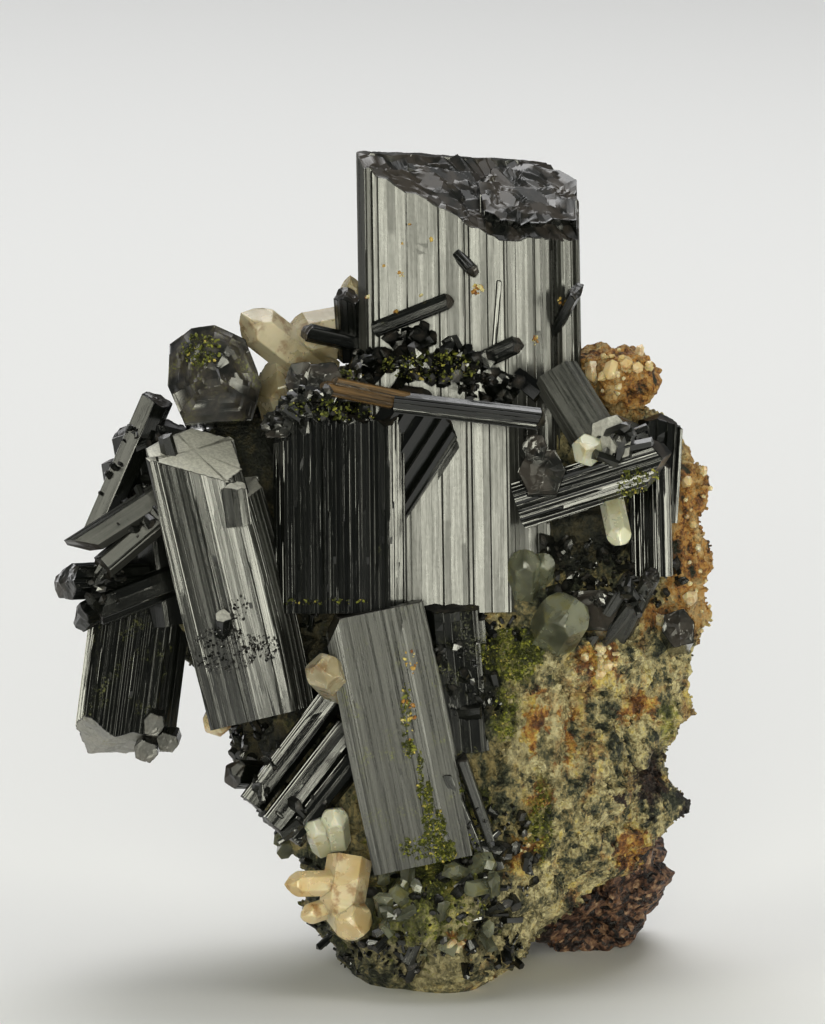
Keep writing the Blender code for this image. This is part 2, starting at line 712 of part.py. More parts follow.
def matrix_mesh():
    """The rock's skin as one closed mesh, flat below and above."""
    bm = bmesh.new()
    grid = [[bm.verts.new(p) for p in row] for row in rock_skin(MATRIX_ROWS, MATRIX_AROUND)]
    for low, high in zip(grid, grid[1:]):
        for k in range(MATRIX_AROUND):
            after = (k + 1) % MATRIX_AROUND
            bm.faces.new((low[k], low[after], high[after], high[k]))
    bm.faces.new(grid[0])
    bm.faces.new(grid[-1])
    bmesh.ops.triangulate(bm, faces=[f for f in bm.faces if len(f.verts) > 4])
    return finished_mesh("quartz_matrix", bm)


def lump_skin(ball, place, size, rough, seed, grown=0.0):
    """Points of a broken lump: those of a unit ball, roughened and stretched to size."""
    skin = wobble(ball * 1.7, seed) + 0.6 * wobble(ball * 4.3, seed + 1)
    points = ball * (1 + rough * skin)[:, None] * (np.array(size) + grown) + np.array(spot(*place))
    points[:, 2] = np.maximum(points[:, 2], -grown)
    return points


def lump_mesh(name, lump, grown=0.0, detail=3):
    bm = bmesh.new()
    bmesh.ops.create_icosphere(bm, subdivisions=detail, radius=1.0)
    ball = np.array([vert.co for vert in bm.verts])
    for vert, point in zip(bm.verts, lump_skin(ball, grown=grown, **lump)):
        vert.co = point
    bmesh.ops.dissolve_degenerate(bm, dist=0.02, edges=bm.edges)
    return finished_mesh(name, bm)


KNOB = {"place": (21.2, 61.4, 8.0), "size": (4.3, 4.6, 3.4), "rough": 0.3, "seed": 2}
BROWN_CRUST = {"place": (21.4, 9.8, 13.0), "size": (6.9, 8.0, 7.6), "rough": 0.28, "seed": 5}

# Small crystals over the front of the rock, grown from it.
DRUSE_COUNT = 24


def druse():
    """Small crystals at the foot of the front one, from a seeded scatter along the lower lip."""
    rng = np.random.default_rng(12)
    made = []
    for _ in range(DRUSE_COUNT):
        right = rng.uniform(-3.5, 13.0)
        up = rng.uniform(5.0, 14.5)
        lean = rng.uniform(-1.6, 1.6)
        foot = (right, up, -9.6)
        tip = (right + lean, up + rng.uniform(1.0, 3.6), rng.uniform(-14.0, -12.6))
        width = rng.uniform(1.0, 2.0)
        made.append(epidote(foot, tip, width, width, facing=UPWARDS, roll=rng.uniform(0, 90)))
    return made


# Materials

FINISHES = {
    "epidote": ((0.018, 0.021, 0.017), 0.22),
    "quartz": ((0.72, 0.66, 0.48), 0.3),
    "rock": ((0.36, 0.29, 0.16), 0.75),
    "crust": ((0.12, 0.045, 0.025), 0.6),
}


def material(name):
    colour, roughness = FINISHES[name]
    made = bpy.data.materials.new(name)
    made.use_nodes = True
    shader = made.node_tree.nodes["Principled BSDF"]
    shader.inputs["Base Color"].default_value = (*colour, 1.0)
    shader.inputs["Roughness"].default_value = roughness
    shader.inputs["Metallic"].default_value = 0.0
    return made


# Assembly


def main():
    for obj in list(bpy.data.objects):
        bpy.data.objects.remove(obj)
    collection = bpy.data.collections.new("epidote_on_quartz")
    bpy.context.scene.collection.children.link(collection)
    materials = {name: material(name) for name in FINISHES}

    finished = {}
    for name, crystals in PIECES.items():
        obj = add_object(name, crystal_mesh(name, crystals[0]), collection)
        if crystals[0].tips:
            break_end(obj, crystals[0])
        for other in crystals[1:]:
            combine(obj, crystal_mesh("member", other), "UNION")
        for earlier in finished.values():
            for tool in earlier:
                mesh = crystal_mesh("neighbour", tool, GAP)
                if boxes_meet(box_of(obj.data), box_of(mesh)):
                    combine(obj, mesh, "DIFFERENCE")
        keep_largest(obj.data)
        obj.data.materials.clear()
        obj.data.materials.append(materials["quartz" if name in QUARTZ_PIECES else "epidote"])
        finished[name] = crystals

    crust = add_object("brown_crust", lump_mesh("brown_crust", BROWN_CRUST), collection)
    crust.data.materials.append(materials["crust"])

    matrix = add_object("quartz_matrix", matrix_mesh(), collection)
    combine(matrix, lump_mesh("knob", KNOB, detail=2), "UNION", "MANIFOLD")
    for crystal in druse():
        combine(matrix, crystal_mesh("druse", crystal), "UNION", "MANIFOLD")
    for crystals in finished.values():
        for tool in crystals:
            mesh = crystal_mesh("socket", tool, GAP)
            if boxes_meet(box_of(matrix.data), box_of(mesh)):
                combine(matrix, mesh, "DIFFERENCE", "MANIFOLD")
    combine(matrix, lump_mesh("seat", BROWN_CRUST, grown=GAP), "DIFFERENCE", "MANIFOLD")
    keep_largest(matrix.data)
    matrix.data.materials.clear()
    matrix.data.materials.append(materials["rock"])
    for obj in collection.objects:
        obj.data.transform(to_metres())


if __name__ == "__main__":
    main()
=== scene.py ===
"""The looks of an epidote on quartz specimen: dark striated crystals grown on a broken rock.

Places are given as they are seen from the front, in millimetres: right and up in that view, and
depth away from the viewer. The finished meshes are in metres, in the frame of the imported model.
"""

import itertools
import math

import bpy
import numpy as np
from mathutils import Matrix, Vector


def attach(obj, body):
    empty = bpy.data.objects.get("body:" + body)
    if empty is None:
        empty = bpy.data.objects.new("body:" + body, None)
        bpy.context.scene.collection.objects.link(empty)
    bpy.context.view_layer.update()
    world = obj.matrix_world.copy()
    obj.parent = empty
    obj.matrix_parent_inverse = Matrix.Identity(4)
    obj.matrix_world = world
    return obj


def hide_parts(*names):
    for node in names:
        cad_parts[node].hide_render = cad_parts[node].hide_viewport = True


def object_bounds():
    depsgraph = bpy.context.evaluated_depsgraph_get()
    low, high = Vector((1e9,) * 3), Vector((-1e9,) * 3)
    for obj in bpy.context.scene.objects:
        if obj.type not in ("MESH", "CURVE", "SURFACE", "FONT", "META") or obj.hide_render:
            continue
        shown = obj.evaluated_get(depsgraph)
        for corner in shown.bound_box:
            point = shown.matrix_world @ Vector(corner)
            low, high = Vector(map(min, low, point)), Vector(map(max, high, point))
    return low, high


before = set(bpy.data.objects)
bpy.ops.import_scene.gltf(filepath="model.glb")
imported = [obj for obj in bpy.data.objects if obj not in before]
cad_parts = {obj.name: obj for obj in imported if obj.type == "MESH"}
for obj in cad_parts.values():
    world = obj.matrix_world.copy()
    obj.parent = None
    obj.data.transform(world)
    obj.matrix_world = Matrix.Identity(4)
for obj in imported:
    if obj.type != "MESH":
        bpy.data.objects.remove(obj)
cad_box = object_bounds()

# The stage: a pale floor and soft lights round the specimen. The strongest light stands behind the
# camera, so that the faces that look at the viewer shine grey and the others stay black.

MM = 0.001
VIEW_DOWN = math.radians(10.0)
FRONT_EDGE = -10.0
CENTRE = np.array([-1.15, 4.06, 0.0])
VIEW_MIDDLE = (1.25, 48.1, 0.0)
VIEW_HEIGHT = 0.1024
LENS, SENSOR = 300.0, 36.0
NEAREST_SEEN = 0.01
FLOOR_SIZE, FLOOR_GREY, FLOOR_ROUGHNESS = 3.0, 0.8, 0.9
WORLD_COLOUR, WORLD_STRENGTH = (0.86, 0.9, 0.92, 1.0), 0.08
GAMMA = 0.88
WARM, WHITE = (1.0, 0.995, 0.84), (1.0, 1.0, 1.0)
LIT_PLACE = (0.0, 0.0, 0.04)
# Each as name, azimuth, elevation, distance, size, radiance and colour.
LIGHTS = [
    ("front_light", -1, 10, 1.3, 0.62, 10.6, WARM),
    ("right_light", 76, 8, 1.2, 0.5, 9.0, WARM),
    ("left_light", -72, 36, 1.3, 0.5, 3.0, WARM),
    ("end_light", 168, 58, 1.2, 0.8, 2.9, WHITE),
    ("top_light", 172, 79, 1.35, 1.1, 2.0, WHITE),
    ("back_light", 215, 12, 1.4, 0.7, 2.5, WHITE),
]


def spot(right, up, depth):
    """A place seen in the front view: its height is (up - (depth - front edge) sin) / cos."""
    height = (up - (depth - FRONT_EDGE) * math.sin(VIEW_DOWN)) / math.cos(VIEW_DOWN)
    return np.array([right, depth, height])


def to_metres(points):
    return (points - CENTRE) * MM


def softbox(name, azimuth, elevation, distance, size, radiance, colour):
    """A square light. Its power is radiance times its area times pi. Azimuth 0 is the camera's."""
    light = bpy.data.lights.new(name, "AREA")
    light.size = size
    light.energy = radiance * size * size * math.pi
    light.color = colour
    a, e = math.radians(azimuth), math.radians(elevation)
    away = (math.sin(a) * math.cos(e), -math.cos(a) * math.cos(e), math.sin(e))
    place = Vector([distance * part for part in away])
    obj = bpy.data.objects.new(name, light)
    obj.location = place
    obj.rotation_euler = (Vector(LIT_PLACE) - place).to_track_quat("-Z", "Y").to_euler()
    obj.visible_camera = False
    bpy.context.scene.collection.objects.link(obj)


middle = to_metres(spot(*VIEW_MIDDLE))
reach = VIEW_HEIGHT * LENS / SENSOR
lens = bpy.data.cameras.new("camera")
lens.lens, lens.sensor_width, lens.clip_start = LENS, SENSOR, NEAREST_SEEN
camera = bpy.data.objects.new("camera", lens)
camera.location = middle + reach * np.array([0.0, -math.cos(VIEW_DOWN), math.sin(VIEW_DOWN)])
camera.rotation_euler = (math.pi / 2 - VIEW_DOWN, 0.0, 0.0)
bpy.context.scene.collection.objects.link(camera)
bpy.context.scene.camera = camera

for light in LIGHTS:
    softbox(*light)

world = bpy.data.worlds.new("studio")
world.use_nodes = True
world.node_tree.nodes["Background"].inputs["Color"].default_value = WORLD_COLOUR
world.node_tree.nodes["Background"].inputs["Strength"].default_value = WORLD_STRENGTH
bpy.context.scene.world = world
bpy.context.scene.view_settings.view_transform = "Standard"
bpy.context.scene.view_settings.gamma = GAMMA

floor_mesh = bpy.data.meshes.new("floor")
half = FLOOR_SIZE / 2
floor_mesh.from_pydata(
    [(-half, -half, 0), (half, -half, 0), (half, half, 0), (-half, half, 0)], [], [(0, 1, 2, 3)]
)
floor = bpy.data.objects.new("floor", floor_mesh)
bpy.context.scene.collection.objects.link(floor)
paint = bpy.data.materials.new("floor")
paint.use_nodes = True
cover = paint.node_tree.nodes["Principled BSDF"].inputs
cover["Base Color"].default_value = (FLOOR_GREY, FLOOR_GREY, FLOOR_GREY, 1)
cover["Roughness"].default_value = FLOOR_ROUGHNESS
floor_mesh.materials.append(paint)

# The rock: quartz-rich, broken and weathered, one piece from its flat cut up to behind the large
# crystals. Its right side is ochre and sugary, its front is overgrown with green. It is a stack of
# level sections joined by a smooth surface, which is then roughened.

# Each as height, left, right, ridge, front left, front, ridge's front, depth at the right, back.
SECTIONS = [
    (0.0, -5.2, 11.5, 6.0, -6.0, -9.2, -8.8, 4.0, 13.0),
    (3.5, -6.2, 14.5, 8.0, -8.6, -11.8, -10.8, 4.0, 16.0),
    (8.0, -8.0, 20.0, 10.0, -9.0, -13.0, -11.2, 5.0, 18.0),
    (12.0, -11.0, 26.0, 13.0, -7.6, -11.4, -10.0, 7.0, 20.0),
    (17.0, -14.5, 28.7, 16.0, -5.0, -7.0, -8.5, 7.0, 21.0),
    (23.0, -16.5, 29.5, 16.0, -3.0, -5.0, -7.0, 7.0, 21.5),
    (28.0, -21.0, 30.0, 15.0, -1.0, -4.0, -5.5, 7.0, 21.5),
    (33.0, -23.5, 30.8, 14.0, 0.0, -3.0, -4.0, 7.0, 21.0),
    (40.0, -25.5, 31.8, 14.0, 1.0, -1.0, -2.0, 7.0, 20.0),
    (47.0, -25.5, 31.0, 14.0, 2.0, 1.0, 0.0, 7.0, 19.0),
    (52.0, -23.0, 31.0, 15.0, 3.0, 3.0, 2.0, 8.0, 18.0),
    (56.0, -18.0, 26.5, 16.0, 5.0, 5.0, 4.0, 9.0, 17.0),
    (59.0, -12.0, 22.0, 16.0, 7.0, 7.0, 7.0, 10.0, 15.0),
    (60.5, -4.0, 20.0, 15.0, 9.0, 9.0, 9.0, 11.0, 13.0),
]
# Each as height, depth, width and how deep it is, on the right side.
HOLLOWS = [(20.5, 4.0, 3.0, 2.6), (28.0, 1.0, 1.6, 1.2), (10.0, 0.0, 2.4, 1.6)]
KNOB = {"place": (21.2, 61.4, 8.0), "size": (4.3, 4.6, 3.4), "rough": 0.3, "seed": 2}
ROCK_ROWS, ROCK_AROUND, ROCK_CAP = 210, 370, 14
CREASE_SPREAD, CREASE_WIDTH = 4.5, 0.10
# Two sets of broken tips on the lumps, each as its size, height and seed, and how far all sink.
LUMP_TIPS, LUMP_SINK = [(1.5, 1.1, 31), (0.6, 0.4, 41)], 0.9


class Skin:
    """A closed surface in millimetres: its points, quads and triangles, and what its finish reads.

    grain is where a point is in the piece's own growth directions. marks holds four numbers a
    point: the tone of its strip, how far it is on an end, how dusty it is (on some ends partly
    painted light), and how mossy it is.
    """

    def __init__(self, points, quads, triangles, grain=None, marks=None):
        self.points, self.quads, self.triangles = points, quads, triangles
        self.grain = points if grain is None else grain
        self.marks = np.zeros((len(points), 4)) if marks is None else marks


def wrapped(rows, around):
    """Quads of a surface whose rows are closed rings, and the fans that close it at two last points."""
    ring = np.arange(around)
    after = (ring + 1) % around
    low = (np.arange(rows - 1) * around)[:, None]
    quads = np.stack([low + ring, low + after, low + around + after, low + around + ring], axis=-1)
    top = (rows - 1) * around
    foot_fan = np.stack([after, ring, np.full(around, rows * around)], axis=-1)
    end_fan = np.stack([top + ring, top + after, np.full(around, rows * around + 1)], axis=-1)
    return quads.reshape(-1, 4), np.concatenate([foot_fan, end_fan])


def piece(name, skins, finish, slot, *nodes):
    """One object from several skins. It rides on the specimen's body and replaces its nodes."""
    counts = np.cumsum([0] + [len(skin.points) for skin in skins])
    quads = np.concatenate([skin.quads + n for skin, n in zip(skins, counts)])
    triangles = np.concatenate([skin.triangles + n for skin, n in zip(skins, counts)])
    mesh = bpy.data.meshes.new(name)
    mesh.vertices.add(counts[-1])
    points = to_metres(np.concatenate([skin.points for skin in skins]))
    mesh.vertices.foreach_set("co", points.astype(np.float32).ravel())
    mesh.loops.add(quads.size + triangles.size)
    mesh.loops.foreach_set("vertex_index", np.concatenate([quads.ravel(), triangles.ravel()]))
    mesh.polygons.add(len(quads) + len(triangles))
    starts = [np.arange(len(quads)) * 4, quads.size + np.arange(len(triangles)) * 3]
    mesh.polygons.foreach_set("loop_start", np.concatenate(starts))
    mesh.update(calc_edges=True)
    grain = mesh.attributes.new("grain", "FLOAT_VECTOR", "POINT")
    grain.data.foreach_set("vector", np.concatenate([s.grain for s in skins]).ravel())
    marks = mesh.attributes.new("marks", "FLOAT_COLOR", "POINT")
    marks.data.foreach_set("color", np.concatenate([s.marks for s in skins]).ravel())
    mesh.polygons.foreach_set("use_smooth", np.zeros(len(mesh.polygons), bool))
    obj = bpy.data.objects.new(name, mesh)
    bpy.context.scene.collection.objects.link(obj)
    mesh.materials.append(finish)
    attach(obj, "root")
    if nodes:
        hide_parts(*nodes)


def through(points, places, closed):
    """Catmull-Rom curve through the points, at places counted in points."""
    points = np.asarray(points, float)
    count = len(points)
    start = np.floor(places).astype(int)
    t = (places - start)[:, None, None]
    pick = [start + k for k in (-1, 0, 1, 2)]
    pick = [i % count if closed else np.clip(i, 0, count - 1) for i in pick]
    a, b, c, d = (points[i] for i in pick)
    bend = (2 * a - 5 * b + 4 * c - d) * t**2 + (3 * b - a - 3 * c + d) * t**3
    return 0.5 * (2 * b + (c - a) * t + bend)


def lattice(cell, seed):
    """A fixed random number from -1 to 1 for each whole-numbered place."""
    i, j, k = (cell[..., n].astype(np.int64) for n in range(3))
    mixed = (i * 73856093 ^ j * 19349663 ^ k * 83492791 ^ seed * 2654435761) & 0xFFFFFFFF
    mixed = ((mixed ^ (mixed >> 15)) * 1274126177) & 0xFFFFFFFF
    return (mixed ^ (mixed >> 13)) / 2**31 - 1.0


def wobble(place, seed=0):
    """Smooth noise from -1 to 1: random numbers on a unit lattice, blended between its corners."""
    cell = np.floor(place)
    share = place - cell
    share = share * share * (3 - 2 * share)
    total = np.zeros(place.shape[:-1])
    for corner in np.ndindex(2, 2, 2):
        weight = np.prod(np.where(corner, share, 1 - share), axis=-1)
        total += weight * lattice(cell + corner, seed)
    return total


def knolls(place, seed):
    """How far each place is from the nearest of the points strewn one to a unit cell."""
    cell = np.floor(place)
    nearest = np.full(place.shape[:-1], 9.0)
    for step in np.ndindex(3, 3, 3):
        near = cell + step - 1
        point = near + 0.5 + 0.5 * np.stack([lattice(near, seed + n) for n in range(3)], axis=-1)
        nearest = np.minimum(nearest, np.linalg.norm(place - point, axis=-1))
    return nearest


def section_corners(left, right, ridge, front_left, front, ridge_front, right_depth, back):
    """Nine corners of a level section, anticlockwise from the left."""
    to_ridge, across, past_ridge, deep = ridge - left, right - left, right - ridge, back - front_left
    return [
        (left, front_left + 0.35 * deep),
        (left + 0.2 * to_ridge, front_left),
        (left + 0.6 * to_ridge, front),
        (ridge, ridge_front),
        (right - 0.3 * past_ridge, 0.5 * (ridge_front + right_depth)),
        (right, right_depth),
        (right - 0.15 * across, back - 2.5),
        (left + 0.5 * across, back),
        (left + 0.12 * across, back - 4.0),
    ]


def crags(place):
    """The finer roughness in millimetres: knolls and noise at three scales."""
    long = place * (1.0, 1.0, 0.6)
    coarse = 0.9 * (0.5 - knolls(long / 2.6, 11)) + 1.1 * (0.3 - np.abs(wobble(long / 2.1, 12)))
    return coarse + 0.5 * (0.5 - knolls(place / 0.95, 13)) + 0.25 * wobble(place / 0.5, 14)


def rock_skin():
    """Row by row a section's ring, moved outwards, then a rough cap.

    It moves out by 2.4 broad noise + 1.3 small noise + 2.6 (0.55 - distance to the nearest knoll)
    and the crags, and in along creases, where a third noise is near 0, and at the hollows.
    """
    rails = np.array([section_corners(*s[1:]) for s in SECTIONS])
    heights = np.array([[[s[0]]] for s in SECTIONS])
    rows = np.linspace(0, len(SECTIONS) - 1, ROCK_ROWS)
    turns = np.arange(ROCK_AROUND) / ROCK_AROUND * rails.shape[1]
    rings = through(through(rails, rows, False).transpose(1, 0, 2), turns, True).transpose(1, 0, 2)
    levels = np.broadcast_to(through(heights, rows, False), rings.shape[:2] + (1,))
    place = np.concatenate([rings, levels], axis=-1)
    away = rings - rings.mean(axis=1, keepdims=True)
    away /= np.linalg.norm(away, axis=-1, keepdims=True)
    level = place[..., 2]
    broad, small = wobble(place / 7.0), wobble(place / 3.2, 1)
    out = 2.4 * broad + 1.3 * small + 2.6 * (0.55 - knolls(place / 6.5, 2))
    out *= np.minimum(1.0, 0.3 + level / 8)
    out += crags(place) * np.clip(level / 1.5, 0.2, 1.0) - 0.3
    crease = np.clip(1.0 - np.abs(wobble(place / CREASE_SPREAD, 21)) / CREASE_WIDTH, 0.0, 1.0)
    out -= crease * np.minimum(1.0, level / 4)
    for height, depth, wide, deep in HOLLOWS:
        near = np.hypot(level - height, place[..., 1] - depth) / wide
        out -= np.where(away[..., 0] > 0.2, deep * np.exp(-near * near), 0.0)
    place[..., :2] += away * out[..., None]
    shares = np.linspace(1, 0, ROCK_CAP + 1)[1:-1, None, None]
    last = place[-1]
    cap = last.mean(axis=0) + shares * (last - last.mean(axis=0))
    cap[..., 2] = last[:, 2].mean() + (1 - shares[..., 0]) * 1.2 * wobble(cap / 2.0, 4)
    place = np.concatenate([place, cap])
    poles = [place[0].mean(axis=0), cap[-1].mean(axis=0)]
    quads, fans = wrapped(len(place), ROCK_AROUND)
    return Skin(np.concatenate([place.reshape(-1, 3), poles]), quads, fans)


def facets(place, seed):
    """Broken crystal tips from about 0 to 1: the highest of the tips strewn one to a unit cell.

    A tip falls off from its own level by the largest of four products with the directions to the
    corners of a tetrahedron, each moved at random, so that it has flat faces.
    """
    cell = np.floor(place)
    value = np.zeros(place.shape[:-1])
    for step in np.ndindex(3, 3, 3):
        near = cell + step - 1
        jitter = np.stack([lattice(near, seed + n) for n in range(3)], axis=-1)
        away = place - (near + 0.5 + 0.5 * jitter)
        fall = np.zeros(value.shape)
        for k, corner in enumerate([(1, 1, 1), (1, -1, -1), (-1, 1, -1), (-1, -1, 1)]):
            tilt = [0.6 * c + 0.35 * lattice(near, seed + 10 * k + n) for n, c in enumerate(corner)]
            fall = np.maximum(fall, (away * np.stack(tilt, axis=-1)).sum(axis=-1))
        value = np.maximum(value, 0.95 + 0.3 * lattice(near, seed + 6) - fall)
    return value


def lump_skin(place, size, rough, seed, rows, around, lean=0.0):
    """A ball in rings from pole to pole, its radius 1 + rough * noise, stretched to size.

    Broken tips then stand out of it. Below its top third it leans to the left, by lean times the
    height below that, and it is cut level with the floor.
    """
    polar = (np.arange(rows) + 0.5) / rows * math.pi
    turn = np.arange(around) / around * 2 * math.pi
    polar, turn = np.meshgrid(math.pi - polar, turn, indexing="ij")
    ball = np.stack(
        [np.sin(polar) * np.cos(turn), np.sin(polar) * np.sin(turn), np.cos(polar)], axis=-1
    )
    ball = np.concatenate([ball.reshape(-1, 3), [(0, 0, -1.0), (0, 0, 1.0)]])
    skin = wobble(ball * 1.7, seed) + 0.6 * wobble(ball * 4.3, seed + 1)
    points = ball * (1 + rough * skin)[:, None] * np.array(size) + spot(*place)
    tips = sum(height * facets(points / wide, start) for wide, height, start in LUMP_TIPS)
    points += ball * (tips - LUMP_SINK)[:, None]
    points[:, 2] = np.maximum(points[:, 2], 0.0)
    points[:, 0] -= lean * np.maximum(0.0, spot(*place)[2] + size[2] / 3 - points[:, 2])
    quads, fans = wrapped(rows, around)
    return Skin(points, quads, fans)


class Wire:
    """A socket of a material. Arithmetic on it adds Math nodes, and node() adds any other node."""

    def __init__(self, tree, socket=None):
        self.tree, self.socket = tree, socket

    def node(self, kind, inputs=(), output=0, stops=(), **settings):
        """Sets the node's settings first, then the values or links of its sockets."""
        made = self.tree.nodes.new("ShaderNode" + kind)
        for key, value in settings.items():
            setattr(made, key, value)
        for k, (place, colour) in enumerate(stops):
            elements = made.color_ramp.elements
            stop = elements[k] if k < len(elements) else elements.new(place)
            stop.position, stop.color = place, (*colour, 1.0)
        for key, value in dict(inputs).items():
            self.feed(made.inputs[key], value)
        return Wire(self.tree, made.outputs[output])

    def feed(self, socket, value):
        if isinstance(value, Wire):
            self.tree.links.new(value.socket, socket)
        elif socket.type == "RGBA":
            socket.default_value = (*value[:3], 1.0)
        else:
            socket.default_value = value

    def maths(self, operation, first, second=0.0):
        return self.node("Math", {0: first, 1: second}, operation=operation)

    def __add__(self, other):
        return self.maths("ADD", self, other)

    def __sub__(self, other):
        return self.maths("SUBTRACT", self, other)

    def __rsub__(self, other):
        return self.maths("SUBTRACT", other, self)

    def __mul__(self, other):
        return self.maths("MULTIPLY", self, other)

    __radd__, __rmul__ = __add__, __mul__

    def rise(self, low, high):
        """Goes smoothly from 0 where this is low to 1 where it is high."""
        ends = {"Value": self, "From Min": low, "From Max": high}
        return self.node("MapRange", ends, interpolation_type="SMOOTHSTEP")

    def mix(self, first, second):
        """A colour from first to second as this goes from 0 to 1."""
        return self.node("Mix", {0: self, 6: first, 7: second}, output=2, data_type="RGBA")

    def scaled(self, x, y, z):
        return self.node("VectorMath", {0: self, 1: (x, y, z)}, operation="MULTIPLY")

    def noise(self, scale, detail=4.0, roughness=0.55, distortion=0.0, output=0):
        inputs = {"Vector": self, "Scale": scale, "Detail": detail, "Roughness": roughness,
                  "Distortion": distortion}
        return self.node("TexNoise", inputs, output)

    def cells(self, scale, output="Distance"):
        return self.node("TexVoronoi", {"Vector": self, "Scale": scale}, output)

    def ramp(self, *stops):
        """A colour along the stops, each a place and its colour."""
        return self.node("ValToRGB", {0: self}, stops=stops)

    def part(self, axis):
        return self.node("SeparateXYZ", {0: self}, axis)


def new_finish(name):
    """A new material with its shader, and a wire to build its pattern from."""
    made = bpy.data.materials.new(name)
    made.use_nodes = True
    return made, made.node_tree.nodes["Principled BSDF"], Wire(made.node_tree)


def places_of(wire):
    """Where a point of the specimen is, in the front view's millimetres."""
    metres = wire.node("TexCoord", output="Object")
    millimetres = metres.node("VectorMath", {0: metres, 3: 1 / MM}, operation="SCALE")
    return millimetres.node("VectorMath", {0: millimetres, 1: tuple(CENTRE)}, operation="ADD")


BLACK, DARK_GREEN, GREY_GREEN = (0.006, 0.007, 0.005), (0.022, 0.026, 0.014), (0.095, 0.100, 0.062)
TAN, CHALK, YELLOW = (0.33, 0.27, 0.13), (0.57, 0.52, 0.32), (0.56, 0.45, 0.13)
OCHRE, RUST, RED_BROWN = (0.42, 0.22, 0.05), (0.19, 0.075, 0.024), (0.030, 0.014, 0.010)
OLIVE, LIME = (0.045, 0.052, 0.010), (0.27, 0.28, 0.045)
# Patches of the rock, each as (right, up, half width, half height) in the front view.
GOLDEN_EDGE = [(29.5, 45.0, 3.4, 9.0), (22.0, 61.5, 6.0, 4.0), (27.5, 37.5, 3.5, 1.6)]
DARK_HEART = [(17.0, 44.0, 8.0, 10.5), (4.0, 24.0, 8.0, 13.0), (0.0, 8.0, 12.0, 6.0),
              (9.5, 17.0, 4.0, 5.0)]
WHITE_RIDGE = [(15.4, 27.0, 1.8, 8.0), (11.6, 26.0, 1.0, 4.0), (9.0, 8.6, 3.2, 2.2),
               (13.0, 7.5, 3.0, 4.5), (5.0, 1.8, 6.0, 0.9), (2.0, 6.0, 8.0, 3.5)]
OCHRE_SPOTS = [(13.4, 27.0, 0.8, 3.5), (16.9, 25.5, 0.6, 3.0), (20.0, 33.0, 2.4, 2.0),
               (12.5, 14.2, 1.8, 1.5), (14.0, 19.5, 1.4, 1.4), (23.5, 14.0, 2.0, 1.8),
               (6.0, 5.0, 1.2, 0.8), (24.0, 28.5, 1.8, 1.8)]
RED_PITS = [(25.3, 21.0, 1.6, 3.0), (22.0, 19.2, 0.7, 1.4), (29.2, 21.0, 0.9, 5.0), (27.0, 12.0, 3.0, 1.5)]
# Painted shade: deep gaps between the crystals, painted nearly black where shade falls in them.
PAINTED_GAP_SHADE = [(-15.0, 53.0, 5.5, 6.0), (-9.0, 33.0, 5.5, 6.0), (17.5, 46.5, 7.0, 4.5),
        (7.0, 31.0, 3.0, 5.0), (-14.0, 24.0, 4.0, 5.0)]
MOSS_SPOTS = [(11.5, 34.0, 3.2, 2.6), (10.5, 28.5, 1.3, 2.6), (14.0, 17.0, 0.9, 4.5),
              (3.5, 13.0, 4.5, 3.5), (1.0, 8.0, 5.0, 3.0), (8.0, 18.0, 0.7, 3.0),
              (27.0, 27.0, 1.0, 2.0)]
ZONE_WARP = 9.0
FRONT_SIDE = (15.0, 9.0)


